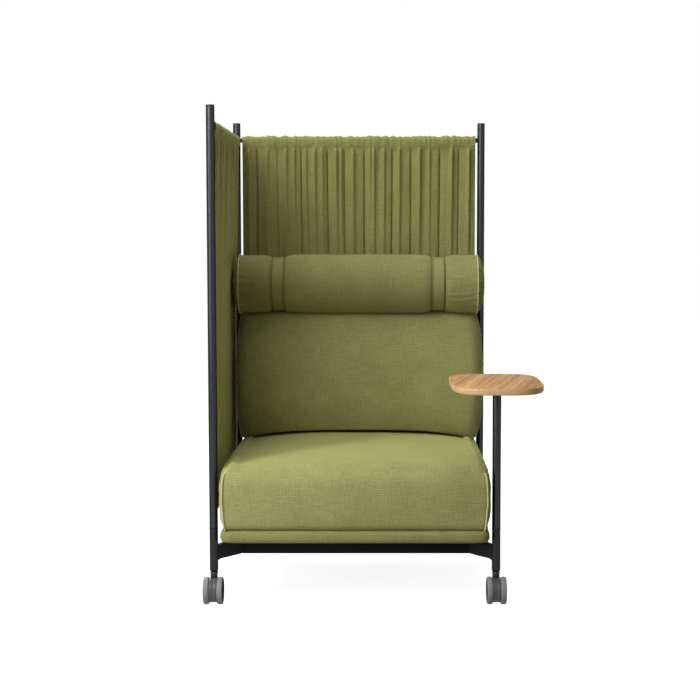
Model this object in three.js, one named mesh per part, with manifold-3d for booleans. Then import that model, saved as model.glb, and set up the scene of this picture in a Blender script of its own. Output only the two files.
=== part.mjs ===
// Acoustic high back lounge chair on castors.
// Four posts stand at the corners of a welded underframe. Three of them are tall and carry two rods
// with gathered curtains, behind the sitter and at the left. The fourth is short and carries a
// swivelling oak tablet. A padded base board, a seat cushion, a back cushion and a neck roll sit
// between the posts.
// Millimetres, +Z up, +X to the sitter's left hand as seen from the front, +Y to the back.

import * as THREE from 'three';
import { mergeVertices } from 'three/addons/utils/BufferGeometryUtils.js';
import Module from 'manifold-3d';

const wasm = await Module();
wasm.setup();

// Clearances
const fitGap = 0.3;
const overrun = 5;

// Posts
const postDiameter = 25;
const postWall = 2;
const postSpacingX = 825;
const postSpacingY = 800;
const overallHeight = 1445;
const capThickness = 3;
const capRound = 1.2;
const capPlugLength = 14;

// Castors
const wheelDiameter = 80;
const wheelWidth = 16;
const wheelChamfer = 2.5;
const wheelSpread = 24;
const axleTrail = 22;
const axleDiameter = 8;
const hubCapDiameter = 67;
const hubCapThickness = 3.2;
const hubCapChamfer = 0.8;
const fenderInset = 3;
const fenderFloorClearance = 10;
const neckHeight = 12;
const neckDiameter = 21;
const neckChamfer = 1.2;
const stemDiameter = 10;
const stemDepthInNeck = 24;
const stemDepthInLeg = 36;
const stemChamfer = 1;

// Leg castings
const legHeight = 127.5;
const legFootChamfer = 2;
const legFootChamferHeight = 5;
const footToArm = 35;
const armHeight = 46;
const armWidth = 17;
const spigotLength = 50;

// Underframe
const crossbarInset = 80;
const crossbarDepth = 30;
const crossbarHeight = 53;
const armReach = 74.5;
const sideRailSpacing = 480;
const sideRailWidth = 25;
const sideRailHeight = 40;
const frameTubeWall = 2.5;
const frameTubeRound = 4;

// Base board
const baseThickness = 37;
const baseSideClearance = 7.5;
const baseFrontOverhang = 45;
const baseRearClearance = 7.5;
const baseCornerRadius = 30;

// Seat cushion
const seatCushionSeamHeight = 188;
const seatCushionCrown = 24;
const seatCushionFrontOverhang = 40;
const seatCushionFrontCrown = 6;
const seatCushionSideBulge = 18;
const seatCushionSideRim = 58;
const seatCushionPostClearance = 2;
const seatCushionFrontRound = 62;
const seatCushionBackRound = 36;
const seatCushionBottomRound = 14;
const seatCushionBackGap = 10;

// Back support
const backPanelThickness = 16;
const backPanelBelowCushion = 14;
const backPanelSideClearance = 20;
const backPanelFootRound = 5;
const backPanelTopRound = 42;
const backRailDiameter = 16;
const backRailOverlap = 9;
const lowerRailAboveBase = 380;
const upperRailAboveRoll = 66.5;

// Back cushion
const backCushionHeight = 412;
const backCushionSink = 30;
const backCushionCrown = 10;
const backCushionThickness = 166;
const backCushionEndThickness = 96;
const backCushionSeamClearance = 10;
const backCushionSideBulge = 17;
const backCushionTiltDegrees = 8;
const backCushionAxisInset = 128;

// Neck roll
const rollDiameter = 195;
const rollAxisInset = 113;
const rollAxisAboveCushion = 96;
const rollSeamClearance = 3;
const rollEndBulge = 16;
const rollEndTaper = 2.5;
const strapSpacing = 530;
const strapWidth = 41;
const strapThickness = 2;
const strapPinch = 8;
const strapPinchReach = 26;

// Curtains and rods
const rodDiameter = 16;
const rodBelowTop = 57;
const clothThickness = 2.2;
const sleeveDepth = 35.5;
const curtainEndSlit = 7;
const hemAboveBase = 41;
const foldDepth = 13;
const foldFadeLength = 60;
const sideCurtainLean = 9;
const sideLeanMargin = 6;

// Tablet
const tabletHeight = 650;
const tabletThickness = 18.5;
const tabletWidth = 264;
const tabletLength = 444;
const tabletInward = 3.5;
const tabletBackward = 10;
const tabletEdgeRound = 2;
const tabletUndercut = 5;
const tabletUndercutHeight = 7;
const tabletUndercutShoulder = 1.5;
const flangeDiameter = 90;
const flangeThickness = 5;
const hubDiameter = 32;
const hubHeight = 12;
const pivotCollarHeight = 3;
const pivotPinDiameter = 12;
const pivotPinLength = 10;
const pivotPlugLength = 30;

// Shares of the sizes above, and powers of the curves
const tabletCornerPower = 3.3;
const sectionPower = 2.3;
const crownPower = 3;
const foldAtStitchShare = 0.3;
const foldBelowStitchShare = 0.8;
const sideCrownShare = 0.5;
const domeShares = [0.35, 0.7, 0.93];
const seatStationShares = [-1, -0.9, -0.72, -0.48, -0.2, 0.2, 0.48, 0.72, 0.9, 1];
const backStationShares = [-1, -0.93, -0.8, -0.6, -0.3, 0, 0.3, 0.6, 0.8, 0.93, 1];
const backFoldShares = [
  0.107, 0.183, 0.224, 0.265, 0.306, 0.35, 0.401, 0.473,
  0.568, 0.609, 0.672, 0.761, 0.824, 0.901, 0.97,
];
const sideFoldShares = [
  0.05, 0.115, 0.18, 0.262, 0.33, 0.39, 0.47, 0.545,
  0.61, 0.69, 0.752, 0.83, 0.895, 0.955,
];

// Facets
const postFacets = 24;
const wheelFacets = 24;
const smallFacets = 16;
const rollFacets = 24;
const sectionFacets = 28;
const tabletFacets = 40;
const cornerSteps = 4;
const noseSteps = 4;
const foldSteps = 3;
const sleeveSteps = 4;

// Heights that follow from the sizes
const wheelRadius = wheelDiameter / 2;
const legBottom = wheelDiameter + neckHeight;
const legTop = legBottom + legHeight;
const armBottom = legBottom + footToArm;
const baseBottom = armBottom + crossbarHeight + fitGap;
const baseTop = baseBottom + baseThickness;
const cushionBottom = baseTop + fitGap;
const seatSeamTop = cushionBottom + seatCushionSeamHeight;
const seatCrownTop = seatSeamTop + seatCushionCrown;
const rodHeight = overallHeight - rodBelowTop;
const hemHeight = baseTop + hemAboveBase;
const lowerRailHeight = baseTop + lowerRailAboveBase;
const backCushionBottom = seatCrownTop - backCushionSink;
const backCushionTop = backCushionBottom + backCushionHeight;
const rollAxisHeight = backCushionTop + rollAxisAboveCushion;
const upperRailHeight = rollAxisHeight + upperRailAboveRoll;

// Places in plan that follow from the sizes
const postRadius = postDiameter / 2;
const postX = postSpacingX / 2;
const postInnerX = postX - postRadius;
const backRailY = postSpacingY - postRadius - backRailDiameter / 2 - fitGap;
const backPanelBack = backRailY - backRailDiameter / 2 - fitGap;
const backPanelFront = backPanelBack - backPanelThickness;
const rollAxisY = postSpacingY - rollAxisInset;
const clothHalf = clothThickness / 2;

// Colours and finishes
const finishes = {
  blackMetal: { color: '#26262a', roughness: 0.45, metalness: 0.6 },
  castMetal: { color: '#2d2d31', roughness: 0.5, metalness: 0.55 },
  steel: { color: '#8d8f93', roughness: 0.3, metalness: 0.95 },
  cloth: { color: '#75803b', roughness: 0.95, metalness: 0 },
  curtainCloth: { color: '#6e7538', roughness: 0.97, metalness: 0 },
  oak: { color: '#c99a63', roughness: 0.5, metalness: 0 },
  tread: { color: '#8f8f8f', roughness: 0.7, metalness: 0 },
  castorPlastic: { color: '#4a4a4a', roughness: 0.5, metalness: 0 },
  hubPlastic: { color: '#17171a', roughness: 0.45, metalness: 0 },
};

// The radius of a regular polygon whose flats lie at the given radius
function aroundFlats(radius, facets) {
  return radius / Math.cos(Math.PI / facets);
}

// A sine or cosine bent so that the circle it draws becomes a squarer, superelliptical one
function squared(value, power) {
  return Math.sign(value) * Math.abs(value) ** (2 / power);
}

// Solids and their geometries

// Leave only positions, merge shared vertices and drop the triangles that have no area
function weld(geometry) {
  const bare = new THREE.BufferGeometry();
  bare.setAttribute('position', geometry.getAttribute('position').clone());
  if (geometry.index) bare.setIndex(geometry.index.clone());
  const merged = mergeVertices(bare);
  const kept = [];
  for (let i = 0; i < merged.index.count; i += 3) {
    const a = merged.index.getX(i);
    const b = merged.index.getX(i + 1);
    const c = merged.index.getX(i + 2);
    if (a !== b && b !== c && c !== a) kept.push(a, b, c);
  }
  merged.setIndex(kept);
  return merged;
}

function signedVolume(geometry) {
  const p = geometry.getAttribute('position');
  const a = new THREE.Vector3();
  const b = new THREE.Vector3();
  const c = new THREE.Vector3();
  let volume = 0;
  for (let i = 0; i < geometry.index.count; i += 3) {
    a.fromBufferAttribute(p, geometry.index.getX(i));
    b.fromBufferAttribute(p, geometry.index.getX(i + 1));
    c.fromBufferAttribute(p, geometry.index.getX(i + 2));
    volume += a.dot(b.cross(c));
  }
  return volume;
}

// A welded geometry whose faces point outwards
function closed(geometry) {
  const welded = weld(geometry);
  if (signedVolume(welded) < 0) {
    const turned = [];
    for (let i = 0; i < welded.index.count; i += 3) {
      turned.push(welded.index.getX(i), welded.index.getX(i + 2), welded.index.getX(i + 1));
    }
    welded.setIndex(turned);
  }
  return welded;
}

function solidOf(geometry) {
  const shape = closed(geometry);
  const vertProperties = Float32Array.from(shape.getAttribute('position').array);
  const triVerts = Uint32Array.from(shape.index.array);
  return new wasm.Manifold(new wasm.Mesh({ numProp: 3, vertProperties, triVerts }));
}

function geometryOf(solid) {
  const mesh = solid.getMesh();
  const geometry = new THREE.BufferGeometry();
  geometry.setAttribute('position', new THREE.BufferAttribute(Float32Array.from(mesh.vertProperties), 3));
  geometry.setIndex(Array.from(mesh.triVerts));
  return geometry;
}

function join(...geometries) {
  return geometryOf(geometries.map(solidOf).reduce((whole, piece) => whole.add(piece)));
}

function cut(geometry, ...cutters) {
  const start = solidOf(geometry);
  return geometryOf(cutters.map(solidOf).reduce((whole, cutter) => whole.subtract(cutter), start));
}

// A profile of [radius, height] pairs turned about +Z
function turned(profile, facets) {
  const points = profile.map(([radius, height]) => new THREE.Vector2(radius, height));
  return closed(new THREE.LatheGeometry(points, facets).rotateX(Math.PI / 2));
}

// A profile of [radius, place along X] pairs turned about +X, with a flat facet underneath
function turnedAlongX(profile, facets) {
  const points = profile.map(([radius, place]) => new THREE.Vector2(radius, place));
  const lathe = new THREE.LatheGeometry(points, facets, Math.PI / facets);
  return closed(lathe.rotateZ(-Math.PI / 2));
}

function rod(radius, length, facets) {
  return turned([[0, 0], [radius, 0], [radius, length], [0, length]], facets);
}

function rodAlongX(radius, x0, x1, facets) {
  return turnedAlongX([[0, x0], [radius, x0], [radius, x1], [0, x1]], facets);
}

// Rings of points skinned one to the next, with a fan over each end
function loft(rings) {
  const count = rings[0].length;
  const points = rings.flat();
  const index = [];
  for (let r = 0; r < rings.length - 1; r += 1) {
    for (let i = 0; i < count; i += 1) {
      const a = r * count + i;
      const b = r * count + ((i + 1) % count);
      index.push(a, b, b + count, a, b + count, a + count);
    }
  }
  const fan = (first, flip) => {
    const ring = points.slice(first, first + count);
    const middle = ring.reduce((sum, p) => sum.add(p), new THREE.Vector3()).divideScalar(count);
    points.push(middle);
    const hub = points.length - 1;
    for (let i = 0; i < count; i += 1) {
      const a = first + i;
      const b = first + ((i + 1) % count);
      if (flip) index.push(hub, b, a);
      else index.push(hub, a, b);
    }
  };
  fan(0, true);
  fan((rings.length - 1) * count, false);
  const geometry = new THREE.BufferGeometry().setFromPoints(points);
  geometry.setIndex(index);
  return closed(geometry);
}

// A loop of [a, b] pairs round a rectangle whose corners are rounded in turn, counter-clockwise from
// the corner with both values low. Each edge also gets the number of inner points that is asked for.
function roundedLoop(a0, a1, b0, b1, radii, edgePoints) {
  const corners = [[a0, b0], [a1, b0], [a1, b1], [a0, b1]];
  const middles = [[1, 1], [-1, 1], [-1, -1], [1, -1]];
  const loop = [];
  corners.forEach(([a, b], k) => {
    const radius = radii[k];
    const start = Math.PI + (k * Math.PI) / 2;
    for (let s = 0; s <= cornerSteps; s += 1) {
      const angle = start + ((s / cornerSteps) * Math.PI) / 2;
      const centreA = a + middles[k][0] * radius;
      const centreB = b + middles[k][1] * radius;
      loop.push([centreA + radius * Math.cos(angle), centreB + radius * Math.sin(angle)]);
    }
    const [nextA, nextB] = corners[(k + 1) % corners.length];
    const nextRadius = radii[(k + 1) % corners.length];
    const length = Math.hypot(nextA - a, nextB - b);
    for (let s = 1; s <= edgePoints[k]; s += 1) {
      const along = radius + ((length - radius - nextRadius) * s) / (edgePoints[k] + 1);
      loop.push([a + ((nextA - a) * along) / length, b + ((nextB - b) * along) / length]);
    }
  });
  return loop;
}

// The same loop with one radius all round and plain edges, as plane points
function roundedRectangle(a0, a1, b0, b1, radius) {
  const loop = roundedLoop(a0, a1, b0, b1, [radius, radius, radius, radius], [0, 0, 0, 0]);
  return loop.map(([a, b]) => new THREE.Vector2(a, b));
}

// The section of a hollow rectangular tube that stands on the line b = 0
function tubeSection(width, height) {
  const half = width / 2;
  const wall = frameTubeWall;
  const shape = new THREE.Shape(roundedRectangle(-half, half, 0, height, frameTubeRound));
  const inside = roundedRectangle(wall - half, half - wall, wall, height - wall, frameTubeRound - wall);
  shape.holes.push(new THREE.Path(inside));
  return shape;
}

function alongX(shape, x0, x1, y, z) {
  const tube = new THREE.ExtrudeGeometry(shape, { depth: x1 - x0, bevelEnabled: false });
  return closed(tube.rotateX(Math.PI / 2).rotateZ(Math.PI / 2).translate(x0, y, z));
}

function alongY(shape, y0, y1, x, z) {
  const tube = new THREE.ExtrudeGeometry(shape, { depth: y1 - y0, bevelEnabled: false });
  return closed(tube.rotateX(Math.PI / 2).rotateZ(Math.PI).translate(x, y0, z));
}

// The assembly
const chair = new THREE.Group();

function add(name, geometry, finish, parent = chair) {
  const mesh = new THREE.Mesh(closed(geometry), new THREE.MeshStandardMaterial(finish));
  mesh.name = name;
  parent.add(mesh);
  return mesh;
}

// The four corners: name, side of the chair, and whether the corner is at the rear
const corners = [
  { tag: 'front_left', side: -1, rear: false },
  { tag: 'front_right', side: 1, rear: false },
  { tag: 'rear_left', side: -1, rear: true },
  { tag: 'rear_right', side: 1, rear: true },
].map((corner) => ({ ...corner, x: corner.side * postX, y: corner.rear ? postSpacingY : 0 }));

// Castors

const hubRecessDepth = hubCapThickness + fitGap;
const axleBoreRadius = aroundFlats(axleDiameter / 2, smallFacets) + fitGap;
const wheelInner = wheelSpread / 2;
const wheelOuter = wheelInner + wheelWidth;

// One wheel on the +X side of the castor, with a recess for its hub cap
function castorWheel() {
  const rim = aroundFlats(wheelRadius, wheelFacets);
  const recessRadius = aroundFlats(hubCapDiameter / 2, wheelFacets) + fitGap;
  return turnedAlongX([
    [axleBoreRadius, wheelInner],
    [rim - wheelChamfer, wheelInner],
    [rim, wheelInner + wheelChamfer],
    [rim, wheelOuter - wheelChamfer],
    [rim - wheelChamfer, wheelOuter],
    [recessRadius, wheelOuter],
    [recessRadius, wheelOuter - hubRecessDepth],
    [axleBoreRadius, wheelOuter - hubRecessDepth],
    [axleBoreRadius, wheelInner],
  ], wheelFacets);
}

function hubCap() {
  const inner = wheelOuter - hubCapThickness;
  const radius = hubCapDiameter / 2;
  return turnedAlongX([
    [0, inner],
    [radius, inner],
    [radius, wheelOuter - hubCapChamfer],
    [radius - hubCapChamfer, wheelOuter],
    [0, wheelOuter],
  ], wheelFacets);
}

function castorAxle() {
  const halfLength = wheelOuter - hubRecessDepth - fitGap;
  return rodAlongX(axleDiameter / 2, -halfLength, halfLength, smallFacets);
}

// The body between the wheels: a round fender cut flat above the floor, with a neck for the stem.
// It is made about the axle, and the neck stands behind it by the trail.
function castorHood() {
  const fenderRadius = wheelRadius - fenderInset;
  const halfWidth = wheelInner - fitGap;
  const fender = rodAlongX(fenderRadius, -halfWidth, halfWidth, wheelFacets);
  const floorCut = new THREE.BoxGeometry(wheelDiameter, wheelDiameter, wheelDiameter)
    .translate(0, 0, fenderFloorClearance - wheelRadius - wheelDiameter / 2);
  const neckTop = legBottom - fitGap - wheelRadius;
  const neckBottom = neckTop - neckHeight - stemDepthInNeck / 2;
  const neckRadius = neckDiameter / 2;
  const neck = turned([
    [0, neckBottom],
    [neckRadius, neckBottom],
    [neckRadius, neckTop - neckChamfer],
    [neckRadius - neckChamfer, neckTop],
    [0, neckTop],
  ], postFacets).translate(0, axleTrail, 0);
  const stemRadius = aroundFlats(stemDiameter / 2, smallFacets) + fitGap;
  const stemBore = rod(stemRadius, stemDepthInNeck + fitGap + overrun, smallFacets)
    .translate(0, axleTrail, neckTop - stemDepthInNeck - fitGap);
  const axleBore = rodAlongX(axleBoreRadius, -wheelOuter, wheelOuter, smallFacets);
  return cut(join(fender, neck), floorCut, stemBore, axleBore);
}

// The steel stem, pushed up into the leg, on which the castor swivels
function castorStem() {
  const radius = stemDiameter / 2;
  const bottom = legBottom - fitGap - stemDepthInNeck;
  const top = legBottom + stemDepthInLeg;
  return turned([
    [0, bottom],
    [radius - stemChamfer, bottom],
    [radius, bottom + stemChamfer],
    [radius, top - stemChamfer],
    [radius - stemChamfer, top],
    [0, top],
  ], smallFacets);
}

function addCastor({ tag, x, y }) {
  const castor = new THREE.Group();
  castor.position.set(x, y - axleTrail, wheelRadius);
  chair.add(castor);
  add(`castor_hood_${tag}`, castorHood(), finishes.castorPlastic, castor);
  add(`castor_axle_${tag}`, castorAxle(), finishes.steel, castor);
  [['right', 0], ['left', Math.PI]].forEach(([hand, turn]) => {
    add(`wheel_${tag}_${hand}`, castorWheel().rotateZ(turn), finishes.tread, castor);
    add(`hub_cap_${tag}_${hand}`, hubCap().rotateZ(turn), finishes.hubPlastic, castor);
  });
  add(`castor_stem_${tag}`, castorStem().translate(x, y, 0), finishes.steel);
}

// Posts and legs

// A rectangle standing across the arm, from one plan point to another and between two heights
function uprightRing([ax, ay], [bx, by], low, high) {
  return [
    new THREE.Vector3(ax, ay, low),
    new THREE.Vector3(bx, by, low),
    new THREE.Vector3(bx, by, high),
    new THREE.Vector3(ax, ay, high),
  ];
}

// The turned leg has a spigot for the post above and a bore for the castor stem below. Its arm runs
// inwards and along the chair to the end of the crossbar, and deepens on the way.
function legCasting({ side, rear, x, y }) {
  const spigotRadius = postRadius - postWall - fitGap;
  const stemRadius = aroundFlats(stemDiameter / 2, smallFacets) + fitGap;
  const leg = turned([
    [0, legBottom],
    [postRadius - legFootChamfer, legBottom],
    [postRadius, legBottom + legFootChamferHeight],
    [postRadius, legTop],
    [spigotRadius, legTop],
    [spigotRadius, legTop + spigotLength],
    [0, legTop + spigotLength],
  ], postFacets).translate(x, y, 0);
  const inward = rear ? -1 : 1;
  const endX = side * (postX - armReach);
  const near = [endX + side * fitGap, y + inward * crossbarInset];
  const far = [endX + side * fitGap, y + inward * (crossbarInset + crossbarDepth)];
  const [endLeft, endRight] = side * inward < 0 ? [far, near] : [near, far];
  const along = new THREE.Vector2(endX - x, (near[1] + far[1]) / 2 - y).normalize();
  const startX = x + (along.x * postRadius) / 2;
  const startY = y + (along.y * postRadius) / 2;
  const acrossX = (along.y * armWidth) / 2;
  const acrossY = (along.x * armWidth) / 2;
  const startLeft = [startX - acrossX, startY + acrossY];
  const startRight = [startX + acrossX, startY - acrossY];
  const start = uprightRing(startLeft, startRight, armBottom, armBottom + armHeight);
  const end = uprightRing(endLeft, endRight, armBottom, armBottom + crossbarHeight);
  const bore = rod(stemRadius, stemDepthInLeg + fitGap + overrun, smallFacets)
    .translate(x, y, legBottom - overrun);
  return cut(join(leg, loft([start, end])), bore);
}

function postTube(bottom, top) {
  const ring = new THREE.Shape().absarc(0, 0, postRadius, 0, Math.PI * 2);
  ring.holes.push(new THREE.Path().absarc(0, 0, postRadius - postWall, 0, Math.PI * 2));
  const options = { depth: top - bottom, bevelEnabled: false, curveSegments: postFacets / 2 };
  return new THREE.ExtrudeGeometry(ring, options).translate(0, 0, bottom);
}

function postCap() {
  const plugRadius = postRadius - postWall - fitGap;
  const seat = overallHeight - capThickness;
  return turned([
    [0, seat - capPlugLength],
    [plugRadius, seat - capPlugLength],
    [plugRadius, seat],
    [postRadius, seat],
    [postRadius, overallHeight - capRound],
    [postRadius - capRound, overallHeight],
    [0, overallHeight],
  ], postFacets);
}

function addPosts() {
  corners.forEach((corner) => {
    const { tag, x, y } = corner;
    addCastor(corner);
    add(`leg_casting_${tag}`, legCasting(corner), finishes.castMetal);
    if (tag === 'front_right') return;
    const top = overallHeight - capThickness - fitGap;
    add(`post_${tag}`, postTube(legTop + fitGap, top).translate(x, y, 0), finishes.blackMetal);
    add(`post_cap_${tag}`, postCap().translate(x, y, 0), finishes.blackMetal);
  });
}

// Underframe

function addUnderframe() {
  const halfLength = postX - armReach;
  const bar = tubeSection(crossbarDepth, crossbarHeight);
  const frontY = crossbarInset + crossbarDepth / 2;
  const rearY = postSpacingY - frontY;
  add('crossbar_front', alongX(bar, -halfLength, halfLength, frontY, armBottom), finishes.blackMetal);
  add('crossbar_rear', alongX(bar, -halfLength, halfLength, rearY, armBottom), finishes.blackMetal);
  const rail = tubeSection(sideRailWidth, sideRailHeight);
  const start = frontY + crossbarDepth / 2 + fitGap;
  const end = rearY - crossbarDepth / 2 - fitGap;
  const railBottom = armBottom + crossbarHeight - sideRailHeight;
  const railX = sideRailSpacing / 2;
  add('side_rail_left', alongY(rail, start, end, -railX, railBottom), finishes.blackMetal);
  add('side_rail_right', alongY(rail, start, end, railX, railBottom), finishes.blackMetal);
}

// Base board, with a half round nose all the way round
function baseBoard() {
  const halfWidth = postInnerX - baseSideClearance;
  const front = -baseFrontOverhang;
  const back = postSpacingY - postRadius - baseRearClearance;
  const nose = baseThickness / 2;
  const rings = [];
  for (let s = 0; s <= noseSteps; s += 1) {
    const angle = (s / noseSteps - 1 / 2) * Math.PI;
    const inset = nose * (1 - Math.cos(angle));
    const radius = baseCornerRadius - inset;
    const x1 = halfWidth - inset;
    const z = baseBottom + nose + nose * Math.sin(angle);
    const loop = roundedRectangle(-x1, x1, front + inset, back - inset, radius);
    rings.push(loop.map((p) => new THREE.Vector3(p.x, p.y, z)));
  }
  return loft(rings);
}

// Stuffed forms: closed loops in planes across X, from one seam to the other, with a bulge past
// each. The bulge rounds over within the given rim.
function stuffedForm(stations, ringAt, bulge, rim) {
  const rings = stations.map((x) => ringAt(x));
  const dome = (ring, sign) => {
    const extent = new THREE.Box3().setFromPoints(ring);
    const middle = extent.getCenter(new THREE.Vector3());
    const half = extent.getSize(new THREE.Vector3()).divideScalar(2);
    return domeShares.map((share) => {
      const drawnIn = 1 - Math.sqrt(1 - share * share);
      const shrinkY = 1 - (drawnIn * Math.min(rim, half.y)) / half.y;
      const shrinkZ = 1 - (drawnIn * Math.min(rim, half.z)) / half.z;
      return ring.map((p) => new THREE.Vector3(
        p.x + sign * bulge * share,
        middle.y + (p.y - middle.y) * shrinkY,
        middle.z + (p.z - middle.z) * shrinkZ,
      ));
    });
  };
  const first = dome(rings[0], -1).reverse();
  const last = dome(rings[rings.length - 1], 1);
  return loft([...first, ...rings, ...last]);
}

// The seat cushion is flat below, rolls over at its front edge and is crowned on top. Side panels
// bulge out past the seams. Grown is how far its top stands higher, for cutting what lies on it.
function seatCushion(grown = 0) {
  const halfLength = postInnerX - seatCushionPostClearance - seatCushionSideBulge;
  const back = backPanelFront - seatCushionBackGap;
  const front = -seatCushionFrontOverhang;
  const middleY = (front + back) / 2;
  const halfDepth = (back - front) / 2;
  const ringAt = (x) => {
    const crown = 1 - Math.abs(x / halfLength) ** crownPower;
    const loop = roundedLoop(
      front, back, cushionBottom, seatSeamTop + grown,
      [seatCushionBottomRound, seatCushionBottomRound, seatCushionBackRound, seatCushionFrontRound],
      [0, 1, 4, 1],
    );
    return loop.map(([y, z]) => {
      const rise = (z - cushionBottom) / (seatSeamTop + grown - cushionBottom);
      const along = 1 - Math.abs((y - middleY) / halfDepth) ** crownPower;
      const domed = 1 - sideCrownShare + along * sideCrownShare;
      const lift = rise * seatCushionCrown * crown * domed;
      const push = y < middleY ? -Math.sin(Math.PI * rise) * crown * seatCushionFrontCrown : 0;
      return new THREE.Vector3(x, y + push, z + lift);
    });
  };
  const stations = seatStationShares.map((share) => share * halfLength);
  return stuffedForm(stations, ringAt, seatCushionSideBulge, seatCushionSideRim);
}

// The neck roll is a cylinder that two straps squeeze into grooves. Grown is added to its radius.
function neckRoll(grown = 0) {
  const halfLength = postInnerX - rollSeamClearance;
  const strapX = strapSpacing / 2;
  const grooveHalf = strapWidth / 2 + fitGap;
  const pinchHalf = grooveHalf + strapPinchReach;
  const radiusAt = (x, inGroove) => {
    const away = Math.max(Math.abs(Math.abs(x) - strapX) - grooveHalf, 0);
    const pinched = away < strapPinchReach ? (1 + Math.cos((Math.PI * away) / strapPinchReach)) / 2 : 0;
    const taper = rollEndTaper * Math.abs(x / halfLength) ** (2 * crownPower);
    const groove = inGroove ? strapThickness + fitGap : 0;
    return rollDiameter / 2 - strapPinch * pinched - taper - groove + grown;
  };
  const reach = strapPinchReach / 2;
  const half = [
    [0, false],
    [(strapX - pinchHalf) / 2, false],
    [strapX - pinchHalf, false],
    [strapX - grooveHalf - reach, false],
    [strapX - grooveHalf, false],
    [strapX - grooveHalf + fitGap / 2, true],
    [strapX + grooveHalf - fitGap / 2, true],
    [strapX + grooveHalf, false],
    [strapX + grooveHalf + reach, false],
    [strapX + pinchHalf, false],
    [halfLength, false],
  ];
  const places = [...half.slice(1).map(([x, groove]) => [-x, groove]).reverse(), ...half];
  const groovePlaces = new Map(places);
  const ringAt = (x) => {
    const radius = radiusAt(x, groovePlaces.get(x));
    return Array.from({ length: rollFacets }, (_, i) => {
      const angle = (i / rollFacets) * Math.PI * 2;
      return new THREE.Vector3(
        x,
        rollAxisY + radius * Math.cos(angle),
        rollAxisHeight + radius * Math.sin(angle),
      );
    });
  };
  return stuffedForm(places.map(([x]) => x), ringAt, rollEndBulge, rollDiameter / 2);
}

// The back cushion is a pillow that leans back on its panel. It is thick in the middle, thin at its
// side seams, and hollowed where it rests on the seat cushion and where the neck roll lies on it.
function backCushion() {
  const halfLength = postInnerX - backCushionSeamClearance;
  const tilt = THREE.MathUtils.degToRad(backCushionTiltDegrees);
  const axisY = postSpacingY - backCushionAxisInset;
  const middleZ = (backCushionBottom + backCushionTop) / 2;
  const ringAt = (x) => {
    const crown = 1 - Math.abs(x / halfLength) ** crownPower;
    const halfHeight = (backCushionHeight + crown * backCushionCrown) / 2;
    const thin = backCushionEndThickness / 2;
    const halfThickness = thin + ((backCushionThickness - backCushionEndThickness) / 2) * crown;
    return Array.from({ length: sectionFacets }, (_, i) => {
      const angle = (i / sectionFacets) * Math.PI * 2;
      const across = halfThickness * squared(Math.cos(angle), sectionPower);
      const up = halfHeight * squared(Math.sin(angle), sectionPower);
      const y = axisY + across * Math.cos(tilt) + up * Math.sin(tilt);
      const z = middleZ + up * Math.cos(tilt) - across * Math.sin(tilt);
      return new THREE.Vector3(x, Math.min(y, backPanelFront - fitGap), z);
    });
  };
  const stations = backStationShares.map((share) => share * halfLength);
  const pillow = stuffedForm(stations, ringAt, backCushionSideBulge, backCushionHeight / 2);
  return cut(pillow, seatCushion(2 * fitGap), neckRoll(fitGap));
}

// A strap that runs round the roll and the upper back rail, as a belt runs round two pulleys
function neckStrap() {
  const down = rollAxisHeight - upperRailHeight;
  const ahead = rollAxisY - backRailY;
  const distance = Math.hypot(ahead, down);
  const grooveRadius = rollDiameter / 2 - strapPinch - strapThickness;
  const railRadius = backRailDiameter / 2 + fitGap;
  const facing = Math.atan2(-down, -ahead);
  const belt = (extra) => {
    const spread = Math.acos((grooveRadius - railRadius) / distance);
    const arc = (y, z, radius, from, to, steps) => Array.from({ length: steps + 1 }, (_, s) => {
      const angle = from + ((to - from) * s) / steps;
      const corner = radius / Math.cos((to - from) / steps / 2);
      return new THREE.Vector2(y + corner * Math.cos(angle), z + corner * Math.sin(angle));
    });
    return [
      ...arc(rollAxisY, rollAxisHeight, grooveRadius + extra,
        facing + spread, facing - spread + Math.PI * 2, rollFacets),
      ...arc(backRailY, upperRailHeight, railRadius + extra, facing - spread, facing + spread, cornerSteps),
    ];
  };
  const outline = new THREE.Shape(belt(strapThickness));
  outline.holes.push(new THREE.Path(belt(0)));
  const strap = new THREE.ExtrudeGeometry(outline, { depth: strapWidth, bevelEnabled: false });
  return closed(strap.rotateX(Math.PI / 2).rotateZ(Math.PI / 2).translate(-strapWidth / 2, 0, 0));
}

function addBackSupport() {
  const panelHalf = postInnerX - backPanelSideClearance;
  const outline = roundedLoop(
    -panelHalf, panelHalf, cushionBottom, backCushionTop - backPanelBelowCushion,
    [backPanelFootRound, backPanelFootRound, backPanelTopRound, backPanelTopRound], [0, 0, 0, 0],
  );
  const shape = new THREE.Shape(outline.map(([a, b]) => new THREE.Vector2(a, b)));
  const panel = new THREE.ExtrudeGeometry(shape, { depth: backPanelThickness, bevelEnabled: false });
  add('back_panel', panel.rotateX(Math.PI / 2).translate(0, backPanelBack, 0), finishes.cloth);
  const railHalf = postInnerX + backRailOverlap;
  const rail = () => rodAlongX(backRailDiameter / 2, -railHalf, railHalf, smallFacets);
  add('back_rail_lower', rail().translate(0, backRailY, lowerRailHeight), finishes.blackMetal);
  add('back_rail_upper', rail().translate(0, backRailY, upperRailHeight), finishes.blackMetal);
}

function addUpholstery() {
  add('base_board', baseBoard(), finishes.cloth);
  add('seat_cushion', seatCushion(), finishes.cloth);
  add('back_cushion', backCushion(), finishes.cloth);
  add('neck_roll', neckRoll(), finishes.cloth);
  add('neck_strap_left', neckStrap().translate(-strapSpacing / 2, 0, 0), finishes.cloth);
  add('neck_strap_right', neckStrap().translate(strapSpacing / 2, 0, 0), finishes.cloth);
}

// Rods and curtains

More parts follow.
